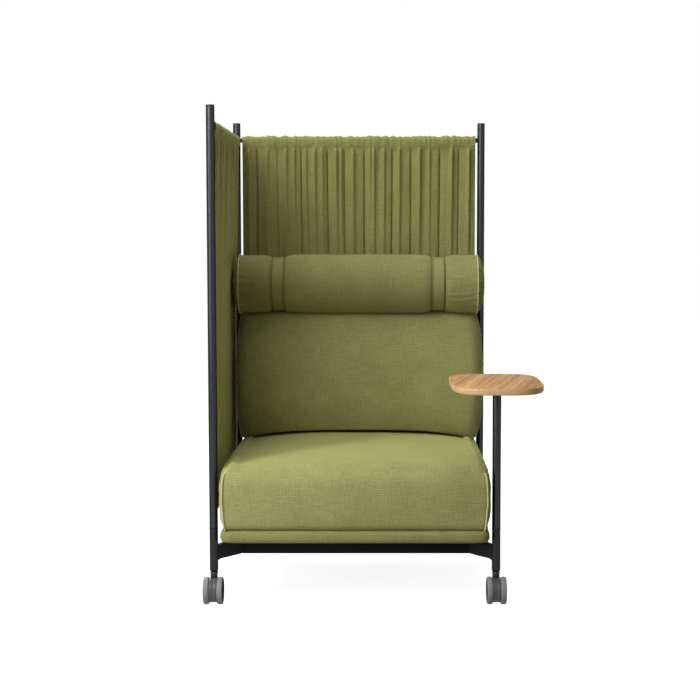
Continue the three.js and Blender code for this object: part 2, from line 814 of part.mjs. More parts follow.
// Places across the curtain, with how far into a fold each lies: 0 on a crest, 1 in a valley
function foldColumns(crestShares) {
  const columns = [[0, 1], [crestShares[0] / 2, 1 / 2]];
  crestShares.slice(0, -1).forEach((crest, k) => {
    const pitch = crestShares[k + 1] - crest;
    for (let s = 0; s < foldSteps; s += 1) {
      const step = s / foldSteps;
      columns.push([crest + pitch * step, (1 - Math.cos(2 * Math.PI * step)) / 2]);
    }
  });
  const last = crestShares[crestShares.length - 1];
  columns.push([last, 0], [(1 + last) / 2, 1 / 2], [1, 1]);
  return columns;
}

// A value between two others, by where a height lies between two levels
function between(height, low, high, valueLow, valueHigh) {
  const share = THREE.MathUtils.clamp((height - low) / (high - low), 0, 1);
  return valueLow + (valueHigh - valueLow) * share;
}

// A curtain hangs from a sleeve round its rod. Its section is repeated across its width and pushed
// into folds, which fade towards the stitch line. Lean is how far its lower part stands out, below
// the level given. It is made along X about the middle of its rod.
function curtain(width, crestShares, lean, leanLevel) {
  const stitch = rodHeight + rodDiameter / 2 + clothThickness + fitGap - sleeveDepth;
  const fadeLevel = stitch - foldFadeLength;
  const levels = [hemHeight, leanLevel, fadeLevel, stitch];
  const innerRadius = aroundFlats(rodDiameter / 2 + fitGap, 2 * sleeveSteps);
  const arc = (radius) => Array.from({ length: sleeveSteps + 1 }, (_, s) => {
    const angle = Math.PI * (1 - s / sleeveSteps);
    return [radius * Math.cos(angle), rodHeight + radius * Math.sin(angle)];
  });
  const front = levels.map((z) => [-clothHalf, z]);
  const back = levels.map((z) => [clothHalf, z]).reverse();
  const outside = [...front, ...arc(innerRadius + clothThickness), ...back];
  const tunnel = [...arc(innerRadius), [0, stitch + clothThickness * 2]];
  const place = ([share, valley], [y, z]) => {
    const onSheet = z <= stitch;
    const shallow = between(z, leanLevel, fadeLevel, 1, foldBelowStitchShare);
    const drawnIn = between(z, fadeLevel, stitch, 0, foldBelowStitchShare - foldAtStitchShare);
    const fold = onSheet ? (valley - 1 / 2) * foldDepth * (shallow - drawnIn) : 0;
    const out = onSheet ? between(z, leanLevel, stitch, lean, 0) : 0;
    return new THREE.Vector3((share - 1 / 2) * width, y + fold + out, z);
  };
  const columns = foldColumns(crestShares);
  const sections = columns.map((column) => [...outside, ...tunnel].map((point) => place(column, point)));
  return skinSections(sections, outside.length, levels.length);
}

// Two loops of each section are skinned along the row: the outside and the tunnel inside it. The
// ends are closed by strips between the loops. Count is the number of levels up one face.
function skinSections(sections, outsideCount, count) {
  const size = sections[0].length;
  const tunnelCount = size - outsideCount;
  const index = [];
  for (let r = 0; r < sections.length - 1; r += 1) {
    for (let i = 0; i < size; i += 1) {
      const inTunnel = i >= outsideCount;
      const next = inTunnel
        ? outsideCount + ((i - outsideCount + 1) % tunnelCount)
        : (i + 1) % outsideCount;
      const [a, b] = inTunnel ? [next, i] : [i, next];
      const low = r * size;
      index.push(low + a, low + b, low + size + b, low + a, low + size + b, low + size + a);
    }
  }
  const faces = [];
  for (let i = 0; i < count - 1; i += 1) {
    const across = outsideCount - 1 - i;
    faces.push([i, i + 1, across], [i + 1, across - 1, across]);
  }
  const keel = size - 1;
  for (let s = 0; s < tunnelCount - 2; s += 1) {
    const outer = count + s;
    const inner = outsideCount + s;
    faces.push([outer, outer + 1, inner], [outer + 1, inner + 1, inner]);
  }
  const frontStitch = count - 1;
  const backStitch = outsideCount - count;
  faces.push([frontStitch, count, outsideCount], [frontStitch, outsideCount, keel]);
  faces.push([frontStitch, keel, backStitch], [keel, keel - 1, backStitch]);
  faces.push([keel - 1, backStitch - 1, backStitch]);
  const last = (sections.length - 1) * size;
  faces.forEach(([a, b, c]) => index.push(a, c, b, last + a, last + b, last + c));
  const geometry = new THREE.BufferGeometry().setFromPoints(sections.flat());
  geometry.setIndex(index);
  return closed(geometry);
}

// A rod along X whose ends are coped to the posts
function curtainRod(spacing) {
  const blank = rodAlongX(rodDiameter / 2, -spacing / 2, spacing / 2, smallFacets);
  const post = () => rod(postRadius + fitGap, rodDiameter + 2 * overrun, postFacets)
    .translate(0, 0, -rodDiameter / 2 - overrun);
  return cut(blank, post().translate(-spacing / 2, 0, 0), post().translate(spacing / 2, 0, 0));
}

function addCurtains() {
  const endGap = postDiameter + 2 * curtainEndSlit;
  const leanLevel = rollAxisHeight + rollDiameter / 2 + sideLeanMargin;
  const backWidth = postSpacingX - endGap;
  const sideWidth = postSpacingY - endGap;
  const back = new THREE.Group();
  back.position.set(0, postSpacingY, 0);
  chair.add(back);
  const backRod = curtainRod(postSpacingX).translate(0, 0, rodHeight);
  add('curtain_rod_back', backRod, finishes.blackMetal, back);
  const backCloth = curtain(backWidth, backFoldShares, 0, leanLevel);
  add('curtain_back', backCloth, finishes.curtainCloth, back);
  const side = new THREE.Group();
  side.position.set(-postX, postSpacingY / 2, 0);
  side.rotation.z = Math.PI / 2;
  chair.add(side);
  const sideRod = curtainRod(postSpacingY).translate(0, 0, rodHeight);
  add('curtain_rod_side', sideRod, finishes.blackMetal, side);
  const sideCloth = curtain(sideWidth, sideFoldShares, sideCurtainLean, leanLevel);
  add('curtain_side', sideCloth, finishes.curtainCloth, side);
}

// Tablet on the short post

const tabletUnderside = tabletHeight - tabletThickness;
const flangeBottom = tabletUnderside - fitGap - flangeThickness;
const hubBottom = flangeBottom - hubHeight;
const pivotSeat = hubBottom - fitGap;

function tabletRing(inset, z) {
  return Array.from({ length: tabletFacets }, (_, i) => {
    const angle = (i / tabletFacets) * Math.PI * 2;
    const across = squared(Math.cos(angle), tabletCornerPower);
    const along = squared(Math.sin(angle), tabletCornerPower);
    return new THREE.Vector3(
      (tabletWidth / 2 - inset) * across - tabletInward,
      (tabletLength / 2 - inset) * along + tabletBackward,
      z,
    );
  });
}

function tabletTop() {
  return loft([
    tabletRing(tabletUndercut, tabletUnderside),
    tabletRing(tabletUndercutShoulder, tabletUnderside + tabletUndercutHeight / 2),
    tabletRing(0, tabletUnderside + tabletUndercutHeight),
    tabletRing(0, tabletHeight - tabletEdgeRound),
    tabletRing(tabletEdgeRound, tabletHeight),
  ]);
}

// The flange screws to the tablet, and its hub turns on the pivot pin
function tabletFlange() {
  const boreRadius = aroundFlats(pivotPinDiameter / 2, smallFacets) + fitGap;
  const boreTop = hubBottom + pivotPinLength;
  return turned([
    [0, boreTop],
    [boreRadius, boreTop],
    [boreRadius, hubBottom],
    [hubDiameter / 2, hubBottom],
    [hubDiameter / 2, flangeBottom],
    [flangeDiameter / 2, flangeBottom],
    [flangeDiameter / 2, flangeBottom + flangeThickness],
    [0, flangeBottom + flangeThickness],
  ], postFacets);
}

function tabletPivot() {
  const collarBottom = pivotSeat - pivotCollarHeight;
  const plugRadius = postRadius - postWall - fitGap;
  const pinTop = hubBottom + pivotPinLength - fitGap;
  return turned([
    [0, collarBottom - pivotPlugLength],
    [plugRadius, collarBottom - pivotPlugLength],
    [plugRadius, collarBottom],
    [postRadius, collarBottom],
    [postRadius, pivotSeat],
    [pivotPinDiameter / 2, pivotSeat],
    [pivotPinDiameter / 2, pinTop],
    [0, pinTop],
  ], postFacets);
}

function addTablet() {
  const tablet = new THREE.Group();
  tablet.position.set(postX, 0, 0);
  chair.add(tablet);
  const tubeTop = pivotSeat - pivotCollarHeight - fitGap;
  add('post_tablet', postTube(legTop + fitGap, tubeTop), finishes.blackMetal, tablet);
  add('tablet_pivot', tabletPivot(), finishes.steel, tablet);
  add('tablet_flange', tabletFlange(), finishes.blackMetal, tablet);
  add('tablet_top', tabletTop(), finishes.oak, tablet);
}

addPosts();
addUnderframe();
addBackSupport();
addUpholstery();
addCurtains();
addTablet();

// The origin lies on the floor under the middle of the chair's outer box
chair.updateMatrixWorld(true);
const box = new THREE.Box3().setFromObject(chair);
const middle = box.getCenter(new THREE.Vector3());
chair.position.set(-middle.x, -middle.y, -box.min.z);

export default chair;
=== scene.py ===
# %% [markdown]
# # A lounge chair on castors, dressed for its portrait
# The chair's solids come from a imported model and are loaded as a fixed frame. This script
# makes what the eye sees around that frame: soft cushions, gathered curtains, turned posts,
# castors and an oak tablet, each with its own finish. Every new piece takes its place from
# the frame, so nothing has to be fitted by hand.

# %% Load the frame and keep its box
import math

import bmesh
import bpy
from mathutils import Matrix, Vector, noise


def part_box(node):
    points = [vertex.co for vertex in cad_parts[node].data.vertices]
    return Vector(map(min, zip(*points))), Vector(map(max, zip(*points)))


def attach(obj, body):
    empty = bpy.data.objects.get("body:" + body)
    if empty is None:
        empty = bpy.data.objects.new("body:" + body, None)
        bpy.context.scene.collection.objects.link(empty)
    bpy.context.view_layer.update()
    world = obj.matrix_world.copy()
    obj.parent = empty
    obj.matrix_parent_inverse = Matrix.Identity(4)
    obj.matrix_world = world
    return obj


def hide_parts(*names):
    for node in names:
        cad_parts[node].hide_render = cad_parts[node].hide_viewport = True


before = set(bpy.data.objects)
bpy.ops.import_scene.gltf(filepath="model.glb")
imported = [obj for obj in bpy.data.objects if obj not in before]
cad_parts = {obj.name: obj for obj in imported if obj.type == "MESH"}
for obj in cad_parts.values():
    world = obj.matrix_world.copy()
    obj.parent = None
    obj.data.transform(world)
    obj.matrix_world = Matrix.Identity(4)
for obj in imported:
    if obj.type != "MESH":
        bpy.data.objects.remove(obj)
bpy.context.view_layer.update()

# %% [markdown]
# ## Measures
# Blender works in metres. Small sizes read better in millimetres, so MM turns one into the
# other. The middle and the size of any part of the frame are looked up by its name. Two
# small functions are used all over: one keeps a value between 0 and 1, and one fades from 1
# towards 0 with distance.

# %% Measures from the frame
MM = 0.001
WELD = 0.02 * MM
FIT_GAP = 0.3 * MM
X_AXIS = Vector((1, 0, 0))
Y_AXIS = Vector((0, 1, 0))
Z_AXIS = Vector((0, 0, 1))
SIDES = {"left": -1, "right": 1}


def middle(node):
    low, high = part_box(node)
    return (low + high) / 2


def size(node):
    low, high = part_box(node)
    return high - low


def foot(node):
    """The point of the floor below a solid's middle."""
    centre = middle(node)
    return Vector((centre.x, centre.y, 0))


def clamped(value):
    return min(max(value, 0), 1)


def fading(distance, reach):
    return math.exp(-distance / reach)


post_left = middle("post_front_left")
post_right = middle("post_tablet")
post_back = middle("post_rear_left")
MID_X = (post_left.x + post_right.x) / 2
POST_RADIUS = size("post_front_left").x / 2
print("posts stand %.0f mm apart" % ((post_right.x - post_left.x) / MM))

# %% [markdown]
# ## Camera
# The photograph is taken from a little right of the chair's middle, about a metre above the
# floor and nearly five metres away, with a long lens. A long lens keeps the posts almost
# parallel. The sideways shift stands for a picture cropped off centre.

# %% Camera
CAMERA_PLACE = (33.25 * MM, -4746.9 * MM, 1096.4 * MM)
CAMERA_DOWN = 4.566
LENS = 79.224
SHIFT = -0.04797

camera = bpy.data.objects.new("camera", bpy.data.cameras.new("camera"))
bpy.context.scene.collection.objects.link(camera)
camera.location = CAMERA_PLACE
camera.rotation_euler = (math.radians(90 - CAMERA_DOWN), 0, 0)
camera.data.lens = LENS
camera.data.shift_x = SHIFT
bpy.context.scene.camera = camera
bpy.context.scene.view_settings.view_transform = "Standard"
print("camera %.2f m from the front posts" % (post_left.y - camera.location.y))

# %% [markdown]
# ## Node trees
# The backdrop, the floor and each finish are small trees of nodes. A few helpers make them
# short: one adds a node and links or sets its inputs, one turns a colour as seen on a screen
# into the linear colour that the renderer works with, and one tells what is looked at from
# what only sends light on.

# %% Node trees
def screen(red, green, blue):
    def linear(value):
        value = value / 255
        return value / 12.92 if value <= 0.04045 else ((value + 0.055) / 1.055) ** 2.4
    return (linear(red), linear(green), linear(blue), 1)


def grey(level):
    return (level, level, level, 1)


class Tree:
    """A tree of nodes that is being built."""

    def __init__(self, tree):
        self.tree = tree

    def feed(self, socket, value):
        if isinstance(value, bpy.types.NodeSocket):
            self.tree.links.new(value, socket)
        else:
            socket.default_value = value

    def node(self, kind, values=None, **settings):
        made_node = self.tree.nodes.new(kind)
        for setting, value in settings.items():
            setattr(made_node, setting, value)
        for socket, value in (values or {}).items():
            self.feed(made_node.inputs[socket], value)
        return made_node

    def math(self, operation, first, second=0.0, third=None, clamp=False):
        values = {0: first, 1: second}
        if third is not None:
            values[2] = third
        made_node = self.node("ShaderNodeMath", values, operation=operation, use_clamp=clamp)
        return made_node.outputs[0]

    def weighed(self, *pairs):
        """The sum of some values, each times its weight."""
        total = 0.0
        for value, weight in pairs:
            total = self.math("MULTIPLY_ADD", value, weight, total)
        return total

    def watched(self):
        """1 for a ray from the camera, a mirror or clear glass, and 0 for light on its way."""
        ray = self.node("ShaderNodeLightPath").outputs
        mirrored = self.math("MAXIMUM", ray["Is Glossy Ray"], ray["Is Transmission Ray"])
        return self.math("MAXIMUM", ray["Is Camera Ray"], mirrored)


# %% [markdown]
# ## Light
# A studio lights such a chair with one large soft source from the front left and above. A
# narrow strip stands close on the same side, so the light falls off across the seat and each
# tube gets one long highlight on its left. Two softer ones lift the front, and one from
# above the top of the cushions. The one behind shines through under the curtains' folds and
# on the rear of the tubes. The right is left almost dark, and so is the corner behind the
# side curtain. The levels are set so that a cloth's colour renders about as it is written.

# %% World and lamps
WORLD_LEVEL = 0.06
# Each lamp's place, the point that it faces, its width and height, and its watts.
LAMPS = {
    "key": ((-1.4, -1.95, 2.85), (-0.05, 0.0, 0.6), 1.8, 1.6, 56),
    "side_strip": ((-1.5, -1.3, 1.3), (-0.1, -0.2, 0.5), 0.3, 1.7, 17),
    "front": ((-0.9, -2.6, 1.9), (-0.05, 0.0, 0.8), 1.4, 1.4, 12),
    "low": ((-1.2, -2.4, 0.7), (-0.1, -0.2, 0.5), 1.0, 1.0, 4),
    "fill": ((2.4, -2.4, 1.7), (0, 0.1, 0.7), 1.6, 2.2, 2),
    "top": ((0.1, 0.2, 3.1), (0, 0.1, 0.4), 1.8, 1.6, 24),
    "rear": ((-1.2, 2.6, 2.2), (0, 0.1, 0.8), 1.4, 1.6, 70),
}


def soft_light(name, place, target, width, height, watts):
    light = bpy.data.lights.new(name, "AREA")
    light.shape = "RECTANGLE"
    light.size = width
    light.size_y = height
    light.energy = watts
    lamp = bpy.data.objects.new(name, light)
    bpy.context.scene.collection.objects.link(lamp)
    lamp.location = place
    lamp.rotation_euler = (Vector(target) - Vector(place)).to_track_quat("-Z", "Y").to_euler()


for name, settings in LAMPS.items():
    soft_light(name, *settings)

world = bpy.data.worlds.new("studio")
bpy.context.scene.world = world
world.use_nodes = True
world.node_tree.nodes.clear()
room = Tree(world.node_tree)
walls = room.node("ShaderNodeBackground", {"Color": grey(1), "Strength": WORLD_LEVEL})
backdrop = room.node("ShaderNodeBackground", {"Color": grey(1), "Strength": 1})
choice = room.node("ShaderNodeMixShader", {
    0: room.watched(), 1: walls.outputs[0], 2: backdrop.outputs[0]})
room.node("ShaderNodeOutputWorld", {"Surface": choice.outputs[0]})
print("lamps:", list(LAMPS))

# %% [markdown]
# ## Materials
# A finish is a tree round one surface shader. It knows where a point is, and it has the
# patterns that all the materials share: noise, colour ramps, mixes and bumps.

# %% Material helpers
class Finish(Tree):
    """A material whose tree is being built."""

    def __init__(self, name, roughness, metallic=0.0, specular=0.5):
        self.material = bpy.data.materials.new(name)
        self.material.use_nodes = True
        super().__init__(self.material.node_tree)
        self.shader = self.tree.nodes["Principled BSDF"]
        self.surface({"Roughness": roughness, "Metallic": metallic,
                      "Specular IOR Level": specular})

    def surface(self, values):
        for socket, value in values.items():
            self.feed(self.shader.inputs[socket], value)

    def place(self, kind="Object"):
        return self.node("ShaderNodeTexCoord").outputs[kind]

    def mapped(self, vector, scale, turn=0.0, shift=(0, 0, 0)):
        values = {"Vector": vector, "Scale": scale, "Rotation": (0, 0, turn), "Location": shift}
        return self.node("ShaderNodeMapping", values).outputs[0]

    def noise(self, vector, scale, detail=2.0, roughness=0.5):
        values = {"Vector": vector, "Scale": scale, "Detail": detail, "Roughness": roughness}
        return self.node("ShaderNodeTexNoise", values).outputs[0]

    def ramp(self, factor, *stops):
        made_node = self.node("ShaderNodeValToRGB", {"Fac": factor})
        elements = made_node.color_ramp.elements
        while len(elements) < len(stops):
            elements.new(1)
        for element, (place, colour) in zip(elements, stops):
            element.position = place
            element.color = colour
        return made_node.outputs[0]

    def mix(self, factor, first, second):
        values = {"Factor": factor, 6: first, 7: second}
        return self.node("ShaderNodeMix", values, data_type="RGBA").outputs[2]

    def bump(self, height, depth, strength):
        values = {"Height": height, "Distance": depth, "Strength": strength}
        self.surface({"Normal": self.node("ShaderNodeBump", values).outputs[0]})


def darker(colour, share):
    return (*(channel * (1 - share) for channel in screen(*colour)[:3]), 1)


# %% [markdown]
# ### Woven wool
# The covers are a plain weave of two olive yarns, one browner and one greener. Close up it
# is a fine checker of bumps. From afar it is a heather, crossed by faint ribs in patches
# where one yarn direction stands above the other, with a few thin streaks where a yarn runs
# thick. The pattern follows the cloth, so it reads the piece's own UV map, which is laid out
# in metres. Crossed sines make the checker and the ribs, and stretched noise the streaks.
# Wool has a fine nap, which a little green sheen gives.

# %% Woven cloth
NAP = screen(208, 218, 136)


def woven(name, dark, light, pitch, rib, sheen):
    cloth = Finish(name, roughness=0.94, specular=0.1)
    uv = cloth.place("UV")
    across, along = cloth.node("ShaderNodeSeparateXYZ", {"Vector": uv}).outputs[:2]

    def waves(run, length, wander):
        place = cloth.math("MULTIPLY_ADD", wander, length * 1.3, run)
        return cloth.math("SINE", cloth.math("MULTIPLY", place, math.tau / length))

    def crossed(length, wander, *patches):
        rows = cloth.math("MULTIPLY", waves(along, length, wander), patches[0])
        columns = cloth.math("MULTIPLY", waves(across, length, wander), patches[1])
        return cloth.math("ADD", rows, columns)

    def patch(shift, stretch):
        cloud = cloth.noise(cloth.mapped(uv, stretch, shift=(shift, shift, 0)), 1, 2)
        return cloth.math("MULTIPLY_ADD", cloud, 5.0, -2.1, clamp=True)

    fine = cloth.noise(uv, 70, 1)
    checker = cloth.math("MULTIPLY", waves(across, pitch, fine), waves(along, pitch, fine))
    ribs = crossed(rib, cloth.noise(uv, 22, 1), patch(3, (18, 30, 1)), patch(8, (30, 18, 1)))
    thick_weft = cloth.noise(cloth.mapped(uv, (22, 420, 1)), 1, 1)
    thick_warp = cloth.noise(cloth.mapped(uv, (420, 22, 1), shift=(5, 3, 0)), 1, 1)
    streaks = cloth.math("ADD", thick_weft, thick_warp)
    heather = cloth.noise(uv, 300, 3, 0.7)
    clouds = cloth.noise(uv, 9, 2)
    tone = cloth.weighed((ribs, 0.04), (checker, 0.05), (streaks, 0.22), (heather, 0.62),
                         (clouds, 0.16))
    height = cloth.weighed((checker, 1.0), (ribs, 0.35), (streaks, 0.8), (heather, 1.0))
    cloth.surface({
        "Base Color": cloth.ramp(tone, (0.40, screen(*dark)), (0.82, screen(*light))),
        "Sheen Weight": sheen, "Sheen Roughness": 0.5, "Sheen Tint": NAP})
    cloth.bump(height, 0.35 * MM, 0.6)
    return cloth.material


WOOL = woven("woven_wool", (122, 119, 72), (184, 184, 120), 2.4 * MM, 6.6 * MM, 0.8)
# A darker copy of the wool, with less sheen, for the neck roll, its straps and the base board:
# painted shade, as less light reaches them than the seat.
WOOL_PAINTED_SHADE = woven("wool_painted_shade", (112, 108, 64), (168, 167, 107), 2.4 * MM, 6.6 * MM, 0.4)
CURTAIN_CLOTH = woven("curtain_cloth", (116, 112, 67), (176, 173, 110), 2.1 * MM, 5.8 * MM, 0.6)
print("woven:", WOOL.name, WOOL_PAINTED_SHADE.name, CURTAIN_CLOTH.name)

# %% [markdown]
# ### Piping and thread
# The seams are piped: a thin cord is wrapped in the same wool and sewn into the seam. Its
# colour is paler than the covers', a painted highlight along its whole length. Its weave is
# too fine to draw, so small noise on Object coordinates is enough.

# %% Piping and thread
def corded(name, dark, light):
    cord = Finish(name, roughness=0.9, specular=0.2)
    where = cord.place()
    speckle = cord.noise(where, 700, 3, 0.7)
    cord.surface({
        "Base Color": cord.ramp(speckle, (0.35, screen(*dark)), (0.68, screen(*light))),
        "Sheen Weight": 0.15})
    cord.bump(cord.noise(where, 900, 2), 0.3 * MM, 0.5)
    return cord.material


# The cord's paler colour is a painted highlight.
PIPING_PAINTED_HIGHLIGHT = corded("piping", (160, 160, 108), (222, 224, 168))
THREAD = corded("thread", (40, 38, 18), (70, 68, 36))

# %% [markdown]
# ### Painted metal
# The tubes are powder coated: baked powder leaves a fine orange peel and a satin gloss. The
# castings below them have the same coat over a rougher skin, and look a little lighter.

# %% Painted metal
def coated(name, colour, roughness, peel, gloss, metallic=0.0):
    paint = Finish(name, roughness, metallic, specular=gloss)
    if metallic:
        paint.surface({"Specular Tint": grey(0)})
    where = paint.place()
    speckle = paint.noise(where, 1400, 2, 0.6)
    cloud = paint.noise(where, 26, 3)
    rough = paint.math("MULTIPLY_ADD", cloud, 0.12, roughness - 0.06)
    paint.surface({
        "Base Color": paint.mix(cloud, darker(colour, 0.2), screen(*colour)),
        "Roughness": paint.math("MULTIPLY_ADD", speckle, 0.10, rough)})
    paint.bump(speckle, peel, 0.35)
    return paint.material


FRAME_PAINT = coated("powder_coat", (56, 57, 58), 0.2, 0.12 * MM, 0.04, metallic=0.8)
BAR_PAINT = coated("bar_coat", (44, 44, 44), 0.5, 0.12 * MM, 0.02)
ARM_PAINT = coated("arm_coat", (58, 58, 58), 0.5, 0.18 * MM, 0.02)
LEG_PAINT = coated("cast_coat", (50, 50, 51), 0.28, 0.22 * MM, 0.07, metallic=0.7)
ROD_PAINT = coated("rod_gloss", (20, 19, 18), 0.24, 0.05 * MM, 0.25)

# %% [markdown]
# ### Castor finishes
# A soft grey tread for hard floors, a dark grey moulded body, black hub caps and a bright
# turned axle. Treads pick up dust, so the rubber is mottled and rough. The steel is turned,
# so its scratches run round it, which noise squeezed along the axle's direction gives.

# %% Castor finishes
def moulded(name, colour, roughness, mottle, gloss):
    plastic = Finish(name, roughness, specular=gloss)
    where = plastic.place()
    cloud = plastic.noise(where, 90, 3, 0.6)
    plastic.surface({
        "Base Color": plastic.mix(cloud, darker(colour, mottle), screen(*colour)),
        "Roughness": plastic.math("MULTIPLY_ADD", cloud, 0.16, roughness - 0.08)})
    plastic.bump(plastic.noise(where, 1100, 2), 0.12 * MM, 0.3)
    return plastic.material


TREAD = moulded("grey_tread", (150, 150, 150), 0.6, 0.3, 0.2)
CASTOR_BODY = moulded("castor_moulding", (84, 84, 84), 0.42, 0.25, 0.3)
HUB = moulded("hub_moulding", (24, 24, 25), 0.75, 0.25, 0.02)
NECK = moulded("neck_moulding", (30, 30, 31), 0.2, 0.2, 0.4)

turned_steel = Finish("turned_steel", 0.3, metallic=1.0)
lathe_lines = turned_steel.noise(turned_steel.mapped(turned_steel.place(), (2400, 30, 30)), 1, 2)
steel_shade = turned_steel.ramp(lathe_lines, (0.3, grey(0.42)), (0.7, grey(0.62)))
turned_steel.surface({"Base Color": steel_shade})
turned_steel.bump(lathe_lines, 0.05 * MM, 0.3)
STEEL = turned_steel.material

# %% [markdown]
# ### Oak
# The tablet is light oak under a matt lacquer. The grain of its top runs away from the
# sitter, turned a few degrees: broad early wood, thin dark late wood and short pores. A band
# of paler oak is bent round the rim, where the grain runs along the edge. Noise stretched
# along the grain gives the fibres, a bent wave gives the year rings, and thinner noise the
# pores. The two woods differ in their grain's direction, rings, shade and gloss.

# %% Oak
GRAIN_TURN = math.radians(12)
PORE = screen(140, 96, 58)


def oak_wood(name, dark, middle_shade, light, turn, rings_each, along, gloss):
    """along is the grain's scale along X, Y and Z: a small number means a long grain."""
    wood = Finish(name, 0.6, specular=gloss)
    board = wood.mapped(wood.place(), (1, 1, 1), turn)

    def grain(scale, detail, roughness=0.5):
        stretched = wood.mapped(board, tuple(scale * share for share in along))
        return wood.noise(stretched, 1, detail, roughness)

    fibre = grain(260, 3, 0.6)
    pores = grain(700, 1)
    bend = grain(24, 2)
    rings = wood.node("ShaderNodeTexWave", {
        "Vector": wood.mapped(board, tuple(along)), "Scale": rings_each, "Distortion": 12,
        "Detail": 2, "Detail Scale": 1.2, "Detail Roughness": 0.5}, wave_type="BANDS")
    shade = wood.weighed((bend, 0.58), (rings.outputs[1], 0.08), (fibre, 0.5))
    colour = wood.ramp(shade, (0.36, screen(*dark)), (0.55, screen(*middle_shade)),
                       (0.76, screen(*light)))
    marks = wood.ramp(pores, (0.62, grey(0)), (0.70, grey(0.45)))
    wood.surface({"Base Color": wood.mix(marks, colour, PORE),
                  "Roughness": wood.math("MULTIPLY_ADD", fibre, 0.15, 0.52)})
    wood.bump(wood.math("SUBTRACT", fibre, wood.math("MULTIPLY", pores, 0.5)), 0.1 * MM, 0.25)
    return wood.material


OAK = oak_wood("oak_top", (140, 94, 55), (190, 144, 96), (228, 188, 140), GRAIN_TURN, 14,
               (1, 0.035, 1), 0.03)
OAK_RIM = oak_wood("oak_rim", (184, 138, 90), (214, 173, 124), (232, 198, 152), 0, 20,
                   (0.03, 0.03, 1), 0.25)
print("materials:", len(bpy.data.materials))

# %% [markdown]
# ## Making pieces
# A piece starts as a bmesh. When its shape is done its doubles are merged, its faces are
# turned outwards and it is shaded smooth except where two faces meet at a real edge. Then
# it is told which body it rides on, which finish it has, and which solids of the frame it
# stands for. Metal pieces start as turned profiles or as blocks.

# %% Making pieces
UV_NAME = "cloth"


def made(bm, name, finish, body="frame", stands_for=(), sharp=35):
    bmesh.ops.remove_doubles(bm, verts=bm.verts[:], dist=WELD)
    bmesh.ops.recalc_face_normals(bm, faces=bm.faces[:])
    mesh = bpy.data.meshes.new(name)
    bm.to_mesh(mesh)
    bm.free()
    mesh.shade_smooth()
    mesh.set_sharp_from_angle(angle=math.radians(sharp))
    mesh.materials.append(finish)
    piece = bpy.data.objects.new(name, mesh)
    bpy.context.scene.collection.objects.link(piece)
    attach(piece, body)
    if stands_for:
        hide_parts(*stands_for)
    print("%s: %d faces" % (name, len(mesh.polygons)))
    return piece


def thicken(piece, thickness, offset):
    wall = piece.modifiers.new("thickness", "SOLIDIFY")
    wall.thickness = thickness
    wall.offset = offset


def lay_uv(bm, flat, faces=None):
    """Give each corner of the faces its place on the flat cloth, in metres."""
    layer = bm.loops.layers.uv.get(UV_NAME) or bm.loops.layers.uv.new(UV_NAME)
    for face in faces or bm.faces:
        for loop in face.loops:
            loop[layer].uv = flat(loop.vert.co, face)


def round_off(bm, edges, width, segments):
    bmesh.ops.bevel(bm, geom=edges, offset=width, offset_type="OFFSET", affect="EDGES",
                    segments=segments, profile=0.5, material=-1)


def soften(bm, width, segments, angle=60, chosen=None):
    """Round off the edges that are sharper than the angle, or those of them that are chosen."""
    limit = math.radians(angle)
    round_off(bm, [edge for edge in bm.edges
                   if len(edge.link_faces) == 2 and edge.calc_face_angle(0) > limit
                   and (chosen is None or chosen(edge))], width, segments)


def top_of(edge):
    return max(vert.co.z for vert in edge.verts)


def bottom_of(edge):
    return min(vert.co.z for vert in edge.verts)


def edges_along(bm, axis, least):
    """The edges that run along an axis for more than the least length."""
    return [edge for edge in bm.edges
            if abs((edge.verts[0].co - edge.verts[1].co)[axis]) > least]


def rod_profile(radius, start, end):
    return [(0, start), (radius, start), (radius, end), (0, end)]


def arc_points(centre, radius, start, end, steps):
    """Points of (radius, along) pairs on an arc, for a profile with round shoulders."""
    turns = [math.radians(start + (end - start) * step / steps) for step in range(steps + 1)]
    return [(centre[0] + radius * math.cos(turn), centre[1] + radius * math.sin(turn))
            for turn in turns]


def spun(profile, centre, axis, steps):
    """Turn a profile of (radius, place along the axis) pairs into a closed skin."""
    bm = bmesh.new()
    out = Z_AXIS if abs(axis.z) < 0.5 else Y_AXIS
    points = [bm.verts.new(centre + out * radius + axis * along) for radius, along in profile]
    for first, second in zip(points, points[1:]):
        bm.edges.new((first, second))
    bmesh.ops.spin(bm, geom=bm.verts[:] + bm.edges[:], cent=centre, axis=axis,
                   angle=math.tau, steps=steps, use_merge=True)
    bmesh.ops.remove_doubles(bm, verts=bm.verts[:], dist=WELD)
    bmesh.ops.recalc_face_normals(bm, faces=bm.faces[:])
    return bm


def block(low, high):
    """A plain box between two corners."""
    bm = bmesh.new()
    bmesh.ops.create_cube(bm, size=1)
    low = Vector(low)
    high = Vector(high)
    stretch = Matrix.Translation((low + high) / 2) @ Matrix.Diagonal((*(high - low), 1))
    bmesh.ops.transform(bm, matrix=stretch, verts=bm.verts[:])
    return bm


# %% [markdown]
# ## Posts
# Three tall posts and one short one are round steel tube, each closed by a flat turned cap
# with a hairline gap under it. A lathe is the natural way to make a tube, so the wall's
# section is spun about the post's own axis and its edges are broken.

# %% Posts
ROUND_STEPS = 64
POST_WALL = 2 * MM
POST_BORE = POST_RADIUS - POST_WALL
TUBE_EDGE = 0.5 * MM
CAP_EDGE = 1.2 * MM
CAP_HEIGHT = 3 * MM


def tube_post(node, name):
    low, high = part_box(node)
    wall = [(POST_BORE, low.z), (POST_RADIUS, low.z), (POST_RADIUS, high.z), (POST_BORE, high.z)]
    bm = spun([*wall, wall[0]], foot(node), Z_AXIS, ROUND_STEPS)
    soften(bm, TUBE_EDGE, 3)
    made(bm, name, FRAME_PAINT, stands_for=[node])


